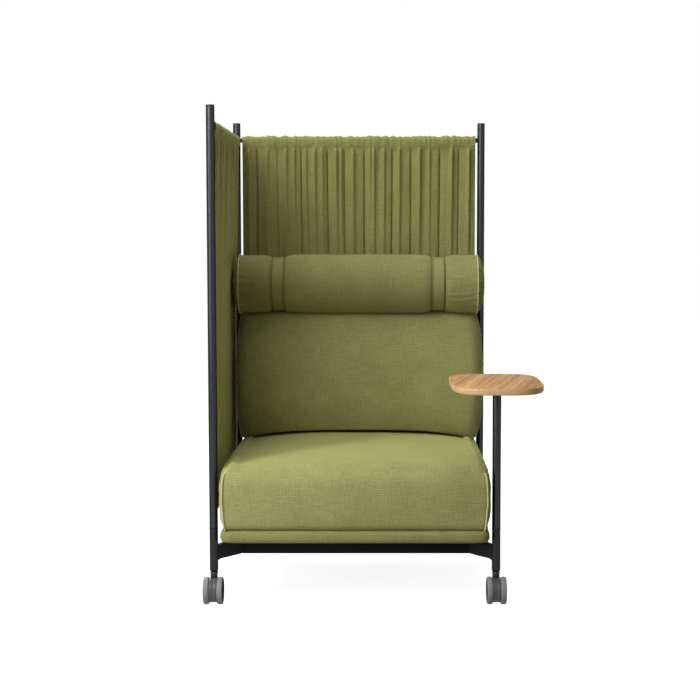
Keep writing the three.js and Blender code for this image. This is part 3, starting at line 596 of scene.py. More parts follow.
def post_cap(node, name):
    low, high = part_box(node)
    plug = POST_BORE - FIT_GAP
    seat = high.z - CAP_HEIGHT
    profile = [(0, low.z), (plug, low.z), (plug, seat), (POST_RADIUS, seat),
               (POST_RADIUS, high.z), (0, high.z)]
    bm = spun(profile, foot(node), Z_AXIS, ROUND_STEPS)
    soften(bm, CAP_EDGE, 4, chosen=lambda edge: bottom_of(edge) > seat + CAP_HEIGHT / 3)
    made(bm, name, FRAME_PAINT, stands_for=[node])


for corner in ("front_left", "rear_left", "rear_right"):
    tube_post("post_" + corner, "post_tube_" + corner)
    post_cap("post_cap_" + corner, "post_lid_" + corner)
tube_post("post_tablet", "post_tube_tablet")

# %% [markdown]
# ## Leg castings
# Below each post a cast leg has an arm that reaches in to the crossbar. The leg is round, so
# it is turned. The arm is a block cut across a few times and pulled from the leg's width to
# the crossbar's height. It flares where it leaves the leg, because a casting has a fillet
# there, and its edges are rounded.

# %% Leg castings
CORNERS = {"front_left": (-1, "front"), "front_right": (1, "front"),
           "rear_left": (-1, "rear"), "rear_right": (1, "rear")}
ARM_WIDTH = 17 * MM
ARM_HEIGHT = 40 * MM
ARM_ROUND = 3.5 * MM
ARM_CUTS = 15
ARM_START = 0.4 * POST_RADIUS
FILLET_START = 0.6 * POST_RADIUS
FILLET_REACH = 12 * MM
FILLET_RISE = 2.5 * MM
LEG_FOOT = 5 * MM
LEG_FOOT_INSET = 2 * MM
LEG_EDGE = 1.2 * MM
LEG_RING = 0.7 * MM
BORE_ROOM = 0.5 * MM


def leg_post(corner):
    node = "leg_casting_" + corner
    stem = "castor_stem_" + corner
    low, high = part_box(node)
    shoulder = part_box("post_tablet")[0].z - FIT_GAP
    spigot = POST_BORE - FIT_GAP
    bore = size(stem).x / 2 + FIT_GAP
    bore_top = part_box(stem)[1].z + BORE_ROOM
    ring = POST_RADIUS + LEG_RING
    profile = [(0, bore_top), (bore, bore_top), (bore, low.z),
               (POST_RADIUS - LEG_FOOT_INSET, low.z), (POST_RADIUS, low.z + LEG_FOOT),
               (POST_RADIUS, shoulder - 2 * LEG_RING), (ring, shoulder - LEG_RING),
               (ring, shoulder), (spigot, shoulder), (spigot, high.z), (0, high.z)]
    leg = spun(profile, foot(stem), Z_AXIS, ROUND_STEPS)
    soften(leg, LEG_EDGE, 3, 12, lambda edge: top_of(edge) < shoulder - 3 * LEG_RING)
    made(leg, "leg_" + corner, LEG_PAINT, stands_for=[node])


def leg_arm(corner, side, end):
    bar_low, bar_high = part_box("crossbar_" + end)
    start = middle("castor_stem_" + corner).xy
    finish = Vector((bar_low.x if side < 0 else bar_high.x, (bar_low.y + bar_high.y) / 2))
    reach = (finish - start).normalized()
    start = start + reach * ARM_START
    length = (finish - start).length
    arm = block((0, -0.5, 0), (1, 0.5, 1))
    bmesh.ops.subdivide_edges(arm, edges=edges_along(arm, 0, 0.5), cuts=ARM_CUTS,
                              use_grid_fill=True)
    leg_side = Vector((-reach.y, reach.x))
    bar_side = Vector((0, 1 if reach.x > 0 else -1))
    for vert in arm.verts:
        share = vert.co.x
        flare = max(0, 1 - max(0, share * length - FILLET_START) / FILLET_REACH) ** 2
        flare *= FILLET_RISE
        half_width = ((1 - share) * ARM_WIDTH + share * (bar_high.y - bar_low.y)) / 2
        turn = (leg_side * (1 - share) + bar_side * share).normalized()
        place = start + reach * share * length + turn * vert.co.y * 2 * (half_width + flare)
        height = (1 - share) * ARM_HEIGHT + share * (bar_high.z - bar_low.z)
        z = bar_low.z + height + flare if vert.co.z > 0.5 else bar_low.z - flare
        vert.co = Vector((place.x, place.y, z))
    bmesh.ops.recalc_face_normals(arm, faces=arm.faces[:])
    soften(arm, ARM_ROUND, 4, 40)
    made(arm, "leg_arm_" + corner, ARM_PAINT)


for corner, (side, end) in CORNERS.items():
    leg_post(corner)
    leg_arm(corner, side, end)

# %% [markdown]
# ## Underframe and rods
# The crossbars and side rails are rectangular tube with rolled corners, and the two rails
# behind the cushions and the two curtain rods are round bar. Blocks with their long edges
# rounded and spun bars are true to how such stock looks. The rods are glossier than the
# posts, because the sleeves slide on them.

# %% Underframe and rods
TUBE_ROUND = 4 * MM
TUBE_LEAST = 100 * MM
BAR_STEPS = 48


def box_tube(node, name, long_axis):
    bm = block(*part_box(node))
    round_off(bm, edges_along(bm, long_axis, TUBE_LEAST), TUBE_ROUND, 5)
    made(bm, name, BAR_PAINT, stands_for=[node])


def round_bar(node, name, axis, finish):
    half = size(node).dot(axis) / 2
    bm = spun(rod_profile(size(node).z / 2, -half, half), middle(node), axis, BAR_STEPS)
    made(bm, name, finish, stands_for=[node])


box_tube("crossbar_front", "cross_tube_front", 0)
box_tube("crossbar_rear", "cross_tube_rear", 0)
box_tube("side_rail_left", "side_tube_left", 1)
box_tube("side_rail_right", "side_tube_right", 1)
round_bar("back_rail_lower", "back_bar_lower", X_AXIS, FRAME_PAINT)
round_bar("back_rail_upper", "back_bar_upper", X_AXIS, FRAME_PAINT)
round_bar("curtain_rod_back", "rod_back", X_AXIS, ROD_PAINT)
round_bar("curtain_rod_side", "rod_side", Y_AXIS, ROD_PAINT)

# %% [markdown]
# ## Castors
# Each castor has two wheels on one axle, a round body between them and a neck that turns on
# the stem. Treads are rounded at their shoulders, the hub caps are dished discs with a
# raised rim, and the neck ends in a glossy collar. All of it is turned work, so it is spun.

# %% Castors
WHEEL_STEPS = 72
PIN_STEPS = 32
TREAD_ROUND = 3.6 * MM
TREAD_CROWN = 0.5 * MM
TREAD_FLAT = 1 * MM
HUB_MARGIN = 3.6 * MM
HUB_SINK = 0.4 * MM
HUB_PROUD = 0.2 * MM
HUB_ROUND = 1.2 * MM
# The hub disc's lip, as distances in from its edge, and its dish, as distances out from the
# axle. Each has its height over the disc's face.
HUB_LIP = [(6 * MM, 0.3 * MM), (7.5 * MM, -0.7 * MM)]
HUB_DISH = [(9 * MM, -1.0 * MM), (7 * MM, -0.2 * MM), (0, 0.2 * MM)]
FENDER_INSET = 3 * MM
FENDER_ROUND = 1.5 * MM
FENDER_LIP = 0.8 * MM
FENDER_GROOVE = 2 * MM
NECK_INSET = 1.6 * MM
NECK_HEIGHT = 24 * MM
COLLAR_HEIGHT = 9 * MM
COLLAR_ROUND = 4.2 * MM
COLLAR_OFFSET = 3.2 * MM
STEM_EDGE = 0.8 * MM


def wheel(corner, hand, sign):
    """A tyre round a recess, and the dished disc that closes the recess."""
    at = "_%s_%s" % (corner, hand)
    axle = middle("castor_axle_" + corner)
    wide, radius = size("wheel" + at).x, size("wheel" + at).z / 2
    bore = size("castor_axle_" + corner).z / 2 + FIT_GAP
    hub = radius - HUB_MARGIN
    inner = abs(middle("wheel" + at).x - axle.x) - wide / 2
    outer = inner + wide
    recess = outer - size("hub_cap" + at).x - HUB_SINK
    shoulder = radius - TREAD_CROWN - TREAD_ROUND
    tyre = [(bore, inner), (radius - TREAD_ROUND - TREAD_FLAT, inner)]
    tyre += arc_points((shoulder, inner + TREAD_ROUND), TREAD_ROUND, -90, 0, 5)
    tyre += [(radius, (inner + outer) / 2)]
    tyre += arc_points((shoulder, outer - TREAD_ROUND), TREAD_ROUND, 0, 78, 5)
    tyre += [(hub + FIT_GAP, outer - HUB_SINK), (hub + FIT_GAP, recess), (bore, recess),
             (bore, inner)]
    made(spun(tyre, axle, X_AXIS * sign, WHEEL_STEPS), "tyre" + at, TREAD,
         "roller" + at, ["wheel" + at])
    face = outer + HUB_PROUD
    rim = face - HUB_ROUND
    disc = [(0, recess + FIT_GAP), (hub, recess + FIT_GAP), (hub, rim)]
    disc += arc_points((hub - HUB_ROUND, rim), HUB_ROUND, 0, 90, 4)
    disc += [(hub - inset, face + height) for inset, height in HUB_LIP]
    disc += [(out, face + height) for out, height in HUB_DISH]
    made(spun(disc, axle, X_AXIS * sign, WHEEL_STEPS), "hub_disc" + at, HUB,
         "roller" + at, ["hub_cap" + at])


def fender(corner):
    """A drum between the wheels with a lipped groove round it, cut flat above the floor."""
    node = "castor_hood_" + corner
    axle = middle("castor_axle_" + corner)
    half = size(node).x / 2
    radius = size("wheel_%s_left" % corner).z / 2 - FENDER_INSET
    edge = radius - FENDER_ROUND
    lip = radius - FENDER_LIP
    barrel = [(0, -half), (edge, -half)]
    barrel += arc_points((edge, FENDER_ROUND - half), FENDER_ROUND, -90, 0, 3)
    barrel += [(lip, -FENDER_GROOVE), (lip - FENDER_LIP, 0), (lip, FENDER_GROOVE)]
    barrel += arc_points((edge, half - FENDER_ROUND), FENDER_ROUND, 0, 90, 3)
    barrel += [(0, half)]
    drum = spun(barrel, axle, X_AXIS, WHEEL_STEPS)
    floor_cut = Vector((axle.x, axle.y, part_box(node)[0].z))
    bmesh.ops.bisect_plane(drum, geom=drum.verts[:] + drum.edges[:] + drum.faces[:],
                           plane_co=floor_cut, plane_no=-Z_AXIS, clear_outer=True)
    bmesh.ops.contextual_create(drum, geom=[edge for edge in drum.edges if edge.is_boundary])
    made(drum, "castor_drum_" + corner, CASTOR_BODY, "castor_" + corner, [node])


def castor_neck(corner):
    top_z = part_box("castor_hood_" + corner)[1].z
    neck = POST_RADIUS - NECK_INSET
    profile = [(0, top_z - NECK_HEIGHT), (neck, top_z - NECK_HEIGHT),
               (neck, top_z - COLLAR_HEIGHT)]
    profile += arc_points((neck - COLLAR_OFFSET, top_z - COLLAR_HEIGHT / 2), COLLAR_ROUND,
                          -42, 42, 8)
    profile += [(neck - COLLAR_OFFSET / 2, top_z), (0, top_z)]
    collar = spun(profile, foot("castor_stem_" + corner), Z_AXIS, BAR_STEPS)
    made(collar, "castor_neck_" + corner, NECK, "castor_" + corner)


def castor_pins(corner):
    axle = "castor_axle_" + corner
    half = size(axle).x / 2
    pin = spun(rod_profile(size(axle).z / 2, -half, half), middle(axle), X_AXIS, PIN_STEPS)
    made(pin, "axle_pin_" + corner, STEEL, "castor_" + corner, [axle])
    stem = "castor_stem_" + corner
    low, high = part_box(stem)
    shaft = spun(rod_profile((high.x - low.x) / 2, low.z, high.z), foot(stem), Z_AXIS, PIN_STEPS)
    soften(shaft, STEM_EDGE, 2)
    made(shaft, "stem_pin_" + corner, STEEL, stands_for=[stem])


for corner in CORNERS:
    for hand, sign in SIDES.items():
        wheel(corner, hand, sign)
    fender(corner)
    castor_neck(corner)
    castor_pins(corner)

# %% [markdown]
# ## Cloth that follows a form
# The covers are cut from flat cloth, so each piece of cloth gets its UV map first, in metres
# on the flat, and is pushed into shape afterwards. The weave then runs over round edges
# as real cloth does. A box cut into a fine grid is the blank for every boxed cushion.

# %% Blanks for cushions
# End panels are cut some metres further along the cloth, so their weave doesn't match.
END_CLOTH = 7


def gridded_box(low, high, cuts):
    """A box whose faces are cut into a grid, with the given cuts along X, Y and Z."""
    bm = block(low, high)
    for axis, count in enumerate(cuts):
        bmesh.ops.subdivide_edges(bm, edges=edges_along(bm, axis, WELD), cuts=count,
                                  use_grid_fill=True)

    def flat(place, face):
        """One panel runs round the front, top, back and bottom, and the ends have their own."""
        facing = face.normal
        if abs(facing.x) > 0.5:
            return (place.y + END_CLOTH, place.z)
        if facing.z > 0.5:
            return (place.x, high.z + place.y - low.y)
        if facing.y < -0.5:
            return (place.x, place.z)
        if facing.y > 0.5:
            return (place.x, 2 * high.z + high.y - low.y - place.z)
        return (place.x, low.z + low.y - place.y)

    lay_uv(bm, flat)
    return bm


def rounded(first, second, bounds_first, bounds_second, radii):
    """Where a point of a rectangle's edge goes when the four corners are rounded.
    The radii are those of the corners low-low, high-low, high-high and low-high."""
    corners = [(0, 0), (1, 0), (1, 1), (0, 1)]
    for (high_first, high_second), radius in zip(corners, radii):
        centre_first = bounds_first[high_first] + (-radius if high_first else radius)
        centre_second = bounds_second[high_second] + (-radius if high_second else radius)
        off_first = (first - centre_first) * (1 if high_first else -1)
        off_second = (second - centre_second) * (1 if high_second else -1)
        if off_first > 0 and off_second > 0:
            keep = max(off_first, off_second) / math.hypot(off_first, off_second)
            first = centre_first + (first - centre_first) * keep
            second = centre_second + (second - centre_second) * keep
    return first, second


def dome(near, rim):
    """A quarter circle: 0 at the seam, 1 once the rim's width away from it."""
    return math.sqrt(1 - (1 - clamped(near / rim)) ** 2)


def ripple(place, scale, seed=0.0):
    """Smooth noise from -1 to 1, the same on each run."""
    return noise.noise(Vector(place) * scale + Vector((seed, seed * 1.7, seed * 0.6)))


def around_x(centre, x, radius, turn):
    """The point at a radius and an angle round an axis that runs along X."""
    return Vector((x, centre.y + radius * math.cos(turn), centre.z + radius * math.sin(turn)))


def angle_round(centre, point):
    return math.atan2(point.z - centre.z, point.y - centre.y)


# %% [markdown]
# ## Piping
# A cord along a seam: a curve with a round section is the simplest way to sweep a tube. It
# is made a mesh at once, because every piece of the chair is one.

# %% Piping
CORD_PROUD = 2.4 * MM
CORD_SUNK = 2.4 * MM


def cord_along(points, name, radius, finish=PIPING_PAINTED_HIGHLIGHT, sides=4):
    curve = bpy.data.curves.new(name, "CURVE")
    curve.dimensions = "3D"
    curve.bevel_depth = radius
    curve.bevel_resolution = sides
    spline = curve.splines.new("POLY")
    spline.points.add(len(points) - 1)
    for knot, point in zip(spline.points, points):
        knot.co = (*point, 1)
    spline.use_cyclic_u = True
    holder = bpy.data.objects.new(name, curve)
    bpy.context.scene.collection.objects.link(holder)
    mesh = bpy.data.meshes.new_from_object(holder)
    bpy.data.objects.remove(holder)
    bm = bmesh.new()
    bm.from_mesh(mesh)
    bpy.data.meshes.remove(mesh)
    made(bm, name, finish, sharp=60)


# %% [markdown]
# ## Base board
# Under the cushion lies a padded board covered in the same weave, in the darker copy of the
# wool whose colour paints the shade under the seat's overhang. Its edge is a full half
# round nose and its corners are rounded in plan, so the front view shows a long soft roll.

# %% Base board
BOARD_CORNER = 30 * MM
BOARD_SWELL = 0.5 * MM
NOSE_POWER = 2.7
board_low, board_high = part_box("base_board")


def board_point(place):
    low, high = board_low, board_high
    centre = (low + high) / 2
    half = (high - low) / 2
    drop = abs(place.z - centre.z)
    room = min(place.x - low.x, high.x - place.x, place.y - low.y, high.y - place.y)
    inset = half.z
    if room < WELD and drop < half.z - WELD:
        inset *= 1 - (1 - (drop / half.z) ** NOSE_POWER) ** (1 / NOSE_POWER)
    x, y = rounded(place.x, place.y, (low.x, high.x), (low.y, high.y), [BOARD_CORNER] * 4)
    x = centre.x + (x - centre.x) * (1 - inset / half.x)
    y = centre.y + (y - centre.y) * (1 - inset / half.y)
    swell = BOARD_SWELL * ripple((x, y, place.z), 9, 3) if y < centre.y else 0
    return Vector((x, y + swell, place.z))


base_blank = gridded_box(board_low, board_high, (90, 60, 9))
for vert in base_blank.verts:
    vert.co = board_point(vert.co)
# The board's darker wool is painted shade under the seat's overhang.
base_pad = made(base_blank, "base_pad", WOOL_PAINTED_SHADE, stands_for=["base_board"],
                sharp=80)

# %% [markdown]
# ## Seat cushion
# A boxed cushion: one panel runs over the front, top and back, and a side panel is piped in
# at each end. The top is crowned, the front edge rolls over in a wide curve, the side panels
# bulge past the piping and the bottom edge is tight. The grid's points are pushed there by
# a formula, as a sculptor would pull a blank, with small puckers left along the seams.

# %% Seat cushion
SEAT_BULGE = 12 * MM
SEAT_RIM = 34 * MM
SEAT_CROWN = 24 * MM
SEAT_SAG = 9 * MM
SEAT_BOW = 8.5 * MM
SEAT_FRONT_CROWN = 11 * MM
FRONT_REACH = 140 * MM
PUFF_REACH = 26 * MM
PUFF_DROP = 9 * MM
PUFF_OUT = 3.5 * MM
SEAT_PIPING = 2.9 * MM
SEAT_SEAM_HALF = size("seat_cushion").x / 2 - 21 * MM
SEAT_RADII = [14 * MM, 14 * MM, 36 * MM, 62 * MM]
cushion_low, cushion_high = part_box("seat_cushion")
seat_low = Vector((MID_X - SEAT_SEAM_HALF, cushion_low.y + SEAT_FRONT_CROWN, cushion_low.z))
seat_high = Vector((MID_X + SEAT_SEAM_HALF, cushion_high.y, cushion_high.z - SEAT_CROWN))
seat_middle = (seat_low + seat_high) / 2
seat_half_deep = (seat_high.y - seat_low.y) / 2


def seat_side(x):
    """From -1 at the left seam to 1 at the right one."""
    return (x - MID_X) / SEAT_SEAM_HALF


def seat_lift(x, y, rise):
    """How far the crown lifts a point of the cushion above its flat blank."""
    side = abs(seat_side(x))
    back = (y - seat_middle.y) / seat_half_deep
    crown = SEAT_CROWN * (1 - side ** 3) * (0.5 + 0.5 * (1 - abs(back) ** 5))
    return rise * (crown - SEAT_SAG * side ** 5 * max(0, back))


def seat_point(place, on_side):
    """Where a point of the blank goes on the stuffed cushion."""
    low, high = seat_low, seat_high
    rise = (place.z - low.z) / (high.z - low.z)
    y, z = rounded(place.y, place.z, (low.y, high.y), (low.z, high.z), SEAT_RADII)
    side = seat_side(place.x)
    if place.y < seat_middle.y:
        near_front = max(0, 1 - (place.y - low.y) / FRONT_REACH)
        fuller = 0.6 if rise < 0.5 else 1.6
        bulging = max(0, math.sin(math.pi * rise)) ** fuller
        y -= bulging * (1 - abs(side) ** 3) * SEAT_FRONT_CROWN * near_front
    x = place.x + side * SEAT_BOW * max(0, math.sin(math.pi * min(rise, 1))) ** 0.85
    from_seam = (1 - abs(side)) * SEAT_SEAM_HALF
    if rise > 0.999 and not on_side and from_seam < PUFF_REACH:
        share = 1 - from_seam / PUFF_REACH
        z -= PUFF_DROP * (1 - math.sqrt(1 - share ** 2))
        x += math.copysign(PUFF_OUT * math.sin(math.pi * share) ** 0.7, side)
    elif rise > 0.999:
        z -= PUFF_DROP
    if on_side:
        room_y = min(place.y - low.y, high.y - place.y)
        room_z = min(place.z - low.z, high.z - place.z)
        x += math.copysign(SEAT_BULGE * dome(room_y, SEAT_RIM) * dome(room_z, SEAT_RIM), side)
    return Vector((x, y, z + seat_lift(place.x, place.y, rise)))


def seat_details(point, normal, side):
    """Small unevenness: soft swells, and puckers that fade away from the piped seams."""
    swell = 1.1 * MM * ripple(point, 7, 11) + 0.5 * MM * ripple(point, 22, 12)
    pucker = 0.9 * MM * fading((1 - abs(side)) * SEAT_SEAM_HALF, 16 * MM)
    run = (point.y + point.z) / (13 * MM) * math.tau
    pucker *= math.sin(run + 3 * ripple(point, 12, 13))
    return point + normal * (swell + pucker)


def seam_points(ring):
    """Places for a cord along a side seam: it stands proud of the seam but sinks in on top."""
    ring = sorted(ring, key=lambda knot: knot[0])
    proud = [-CORD_SUNK if on_top else CORD_PROUD for _, _, on_top in ring]
    for _ in range(2):
        proud = [(proud[place - 1] + proud[place] + proud[(place + 1) % len(proud)]) / 3
                 for place in range(len(proud))]
    return [vert.co + vert.normal * out for (_, vert, _), out in zip(ring, proud)]


seat_blank = gridded_box(seat_low, seat_high, (68, 68, 17))
side_of = {}
seam_rings = {-1: [], 1: []}
for vert in seat_blank.verts:
    place = vert.co
    side = seat_side(place.x)
    side_of[vert] = side
    room = min(place.y - seat_low.y, seat_high.y - place.y,
               place.z - seat_low.z, seat_high.z - place.z)
    if abs(side) > 1 - WELD / SEAT_SEAM_HALF and room < WELD:
        turn = math.atan2(place.z - seat_middle.z, (place.y - seat_middle.y) / 4)
        on_top = place.z > seat_high.z - WELD
        seam_rings[1 if side > 0 else -1].append((turn, vert, on_top))
for vert, side in side_of.items():
    vert.co = seat_point(vert.co, abs(side) > 1 - WELD / SEAT_SEAM_HALF)
seat_blank.normal_update()
for vert, side in side_of.items():
    vert.co = seat_details(vert.co, vert.normal, side)
seat_blank.normal_update()
seam_cords = {hand: seam_points(ring) for hand, ring in seam_rings.items()}
seat_pad = made(seat_blank, "seat_pad", WOOL, stands_for=["seat_cushion"],
                sharp=80)
for name, hand in SIDES.items():
    cord_along(seam_cords[hand], "seat_piping_" + name, SEAT_PIPING)

# %% [markdown]
# ## Neck roll
# A bolster with a round end panel piped in at each end. Two straps squeeze it, so the cover
# dips into a groove at each and gathers in short slanting puckers beside the strap's edges.
# The cover is laid out flat, gets its UV map, and is then rolled up about the axis.

# %% Neck roll
ROLL_BULGE = 20 * MM
ROLL_OVER = 6 * MM
ROLL_TAPER = 2.5 * MM
ROLL_PIPING = 2.3 * MM
ROLL_STEPS = 360
STATION_COARSE = 7 * MM
STATION_FINE = 2.2 * MM
PANEL_RIM = 0.9
PANEL_SHARES = [0.06, 0.16, 0.3, 0.46, 0.64, 0.82]
PANEL_CLOTH = 5
PINCH = 11.5 * MM
PINCH_REACH = 60 * MM
CREVICE = 4 * MM
CREVICE_REACH = 2 * MM
PUCKER_TALL = 10 * MM
PUCKER_SPACING = 10.5 * MM
PUCKER_FADE = 8 * MM
PUCKER_START = 1.2 * MM
PUCKER_SLANT = 0.9
# How strongly each strap edge gathers the cover, and how far that moves to the underside.
GATHERS = {("left", -1): (1.0, 0.1), ("left", 1): (0.9, 0.5),
           ("right", -1): (0.5, 0.4), ("right", 1): (0.8, 0.4)}
# Pulls in the cover at the right end: angle at the strap, angle at the end, and depth. Each
# has a ridge beside it. Widths and distances are angles round the roll too.
PULLS = [(3.42, 3.36, 1.6 * MM), (3.66, 3.56, 1.4 * MM), (2.75, 2.85, 0.8 * MM)]
PULL_WIDE = 0.045
RIDGE_WIDE = 0.06
RIDGE_BESIDE = 0.1
# Small even puckers run round the cover beside its end seams.
END_PUCKERS = 23
END_PUCKER = 1.1 * MM
END_PUCKER_FADE = 20 * MM
roll_low, roll_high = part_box("neck_roll")
roll_axis = (roll_low + roll_high) / 2
ROLL_RADIUS = (roll_high.z - roll_low.z) / 2
ROLL_HALF = (roll_high.x - roll_low.x) / 2 - ROLL_BULGE
STRAP_HALF = size("neck_strap_left").x / 2
strap_middles = {name: middle("neck_strap_" + name).x for name in SIDES}


def puckers(x, turn, strap_x, name):
    """The puckers beside a strap: short slanting ridges that fade away from its edge."""
    away = abs(x - strap_x) - STRAP_HALF
    if not 0 < away < PINCH_REACH:
        return 0.0
    hand = 1 if x > strap_x else -1
    strength, lower = GATHERS[name, hand]
    strength *= 1 - lower + lower * max(0, -math.sin(turn)) * 1.4
    run = turn * ROLL_RADIUS - PUCKER_SLANT * away * hand
    wander = 0.8 * ripple((x, turn * 0.1, 0), 26, 21)
    fade = fading(away, PUCKER_FADE) * min(1, away / PUCKER_START)
    fold = abs(math.sin(run / PUCKER_SPACING * math.pi + wander))
    return PUCKER_TALL * strength * fade * (fold ** 0.7 - 0.6)


def pulled(x, turn):
    """How far the pulls draw the cover in, between the right strap and the end."""
    start = strap_middles["right"] + STRAP_HALF
    past = (x - start) / (roll_axis.x + ROLL_HALF - start)
    drawn = 0.0
    if 0 < past < 1:
        for at_strap, at_end, depth in PULLS:
            beside = turn - at_strap - (at_end - at_strap) * past
            drawn += depth * math.exp(-(beside / PULL_WIDE) ** 2)
            drawn -= depth * math.exp(-((beside - RIDGE_BESIDE) / RIDGE_WIDE) ** 2)
    return drawn * math.sin(math.pi * past)


def roll_radius(x, turn):
    """The cover's radius at a place along the roll and an angle round it."""
    offset = abs(x - roll_axis.x)
    radius = ROLL_RADIUS - ROLL_TAPER * (offset / ROLL_HALF) ** 3 - pulled(x, turn)
    for name, strap_x in strap_middles.items():
        away = max(abs(x - strap_x) - STRAP_HALF, 0)
        if away < PINCH_REACH:
            radius -= PINCH * (1 - away / PINCH_REACH) ** 4.2
            radius -= CREVICE * fading(away, CREVICE_REACH)
        radius += puckers(x, turn, strap_x, name)
    near_end = fading(max(ROLL_HALF - offset, 0), END_PUCKER_FADE)
    wander = 2 * ripple((turn * 0.4, x, 0), 6, 31)
    radius += END_PUCKER * near_end * math.sin(turn * END_PUCKERS + wander)
    return radius + 0.9 * MM * ripple((x, turn * 0.1, 0), 9, 41)


def roll_stations():
    """Places along the roll, closer together where the cover is gathered."""
    places = []
    place = -ROLL_HALF
    while place < ROLL_HALF:
        places.append(place)
        near = min(abs(abs(place) - abs(x - roll_axis.x)) for x in strap_middles.values())
        gathered = STRAP_HALF - 3 * MM < near < STRAP_HALF + 30 * MM
        place += STATION_FINE if gathered else STATION_COARSE
    return [*places, ROLL_HALF]


def rolled_cover():
    stations = roll_stations()
    columns = len(stations) - 1
    bm = bmesh.new()
    bmesh.ops.create_grid(bm, x_segments=columns, y_segments=ROLL_STEPS, size=0.5)
    for vert in bm.verts:
        vert.co.x = stations[round((vert.co.x + 0.5) * columns)]
        vert.co.y = (vert.co.y + 0.5) * math.tau
    lay_uv(bm, lambda place, face: (place.x, place.y * ROLL_RADIUS))
    for vert in bm.verts:
        x, turn = roll_axis.x + vert.co.x, vert.co.y
        vert.co = around_x(roll_axis, x, roll_radius(x, turn % math.tau), turn)
    return bm


def inset_ring(edges, hand, share, before):
    """Draw a ring of edges in to a share of the panel, and dome it as far as it has come."""
    keep = (1 - share) / (1 - before)
    swell = (ROLL_BULGE + ROLL_OVER) * (dome(share, PANEL_RIM) - dome(before, PANEL_RIM))
    for vert in {vert for edge in edges for vert in edge.verts}:
        turn = angle_round(roll_axis, vert.co)
        crease = 0.9 * MM * math.sin(turn * 11 + 2 * ripple((turn, hand, 0), 2, 7))
        crease *= fading(share, 0.12) if share < 0.5 else 0
        vert.co = Vector((vert.co.x + hand * (swell + crease),
                          roll_axis.y + (vert.co.y - roll_axis.y) * keep,
                          roll_axis.z + (vert.co.z - roll_axis.z) * keep))


def end_panel(bm, hand):
    """Close one end of the roll with a domed panel. The places for its piping come back."""
    ring = [edge for edge in bm.edges if edge.is_boundary
            and (edge.verts[0].co.x - roll_axis.x) * hand > 0]
    knots = sorted({vert for edge in ring for vert in edge.verts},
                   key=lambda vert: angle_round(roll_axis, vert.co))
    cord = []
    for vert in knots[::3]:
        out = Vector((0, vert.co.y - roll_axis.y, vert.co.z - roll_axis.z)).normalized()
        cord.append(vert.co + (out + X_AXIS * hand) * CORD_PROUD * 0.7)
    before = 0.0
    for share in PANEL_SHARES:
        grown = bmesh.ops.extrude_edge_only(bm, edges=ring)["geom"]
        ring = [item for item in grown if isinstance(item, bmesh.types.BMEdge)]
        inset_ring(ring, hand, share, before)
        before = share
    bmesh.ops.contextual_create(bm, geom=ring)
    return cord


roll_blank = rolled_cover()
bmesh.ops.remove_doubles(roll_blank, verts=roll_blank.verts[:], dist=WELD)
roll_cords = {name: end_panel(roll_blank, hand) for name, hand in SIDES.items()}
lay_uv(roll_blank, lambda place, face: (place.y + PANEL_CLOTH, place.z),
       [face for face in roll_blank.faces if abs(face.normal.x) > 0.55 or len(face.verts) > 4])
# The roll's darker wool is painted shade.
roll_pad = made(roll_blank, "roll_pad", WOOL_PAINTED_SHADE, stands_for=["neck_roll"],
                sharp=80)
for name, cord in roll_cords.items():
    cord_along(cord, "roll_piping_" + name, ROLL_PIPING)

# %% [markdown]
# ## Back cushion
# A pillow with a seam all round its edge: two equal panels, sewn together and filled, so it
# is fat in the middle, pinched at the edges and pulled out to small ears at its corners. It
# leans back on its panel. Where the roll and the seat press on it, it gives way to them.

# %% Back cushion
PILLOW_BULGE = 17 * MM
PILLOW_OPEN_BULGE = 25 * MM
PILLOW_HEIGHT = 412 * MM
PILLOW_CROWN = 10 * MM
PILLOW_THICK = 166 * MM
PILLOW_END_THICK = 96 * MM
PILLOW_RIM = 44 * MM
PILLOW_SINK = 30 * MM
PILLOW_INSET = 128 * MM
PILLOW_PIPING = 2.2 * MM
PILLOW_POWER = 2.3
PILLOW_BOW_POWER = 2.6
PILLOW_TILT = math.radians(8)
PILLOW_CLOTH = 2
PRESSED_GAP = 0.6 * MM
PILLOW_HALF = size("back_cushion").x / 2 - PILLOW_BULGE
PILLOW_Y = post_back.y - PILLOW_INSET
PILLOW_Z = cushion_high.z - PILLOW_SINK + PILLOW_HEIGHT / 2
panel_low, panel_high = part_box("back_panel")


def seat_surface(x, y):
    """The height of the seat cushion's top, for what rests on it."""
    radius = SEAT_RADII[2]
    edge = max(0, radius - (seat_high.y - y))
    drop = radius - math.sqrt(max(0, radius ** 2 - edge ** 2))
    return seat_high.z - drop + seat_lift(x, min(y, seat_high.y), 1)


def pillow_point(share_x, share_z, face_side):
    crown = 1 - abs(share_x) ** 3
    thick = (PILLOW_END_THICK + (PILLOW_THICK - PILLOW_END_THICK) * crown) / 2
    section = (1 - abs(share_z) ** PILLOW_POWER) ** (1 / PILLOW_POWER)
    bulge = PILLOW_BULGE if share_x < 0 else PILLOW_OPEN_BULGE
    reach = PILLOW_HALF + bulge * (1 - abs(share_z) ** PILLOW_BOW_POWER)
    across = face_side * thick * section * dome((1 - abs(share_x)) * reach, PILLOW_RIM)
    up = (PILLOW_HEIGHT + crown * PILLOW_CROWN) / 2 * share_z
    return Vector((MID_X + share_x * reach,
                   PILLOW_Y + across * math.cos(PILLOW_TILT) + up * math.sin(PILLOW_TILT),
                   PILLOW_Z + up * math.cos(PILLOW_TILT) - across * math.sin(PILLOW_TILT)))


def give_way(point):
    """Push a point of the pillow out of the roll, the seat and the panel behind it."""
    turn = angle_round(roll_axis, point)
    clear = roll_radius(point.x, turn % math.tau) + PRESSED_GAP
    away = Vector((0, point.y - roll_axis.y, point.z - roll_axis.z))
    if abs(point.x - roll_axis.x) < ROLL_HALF and away.length < clear:
        point = point + away.normalized() * (clear - away.length)
    point.z = max(point.z, seat_surface(point.x, point.y) + PRESSED_GAP)
    point.y = min(point.y, panel_low.y - 0.4 * MM)
    return point


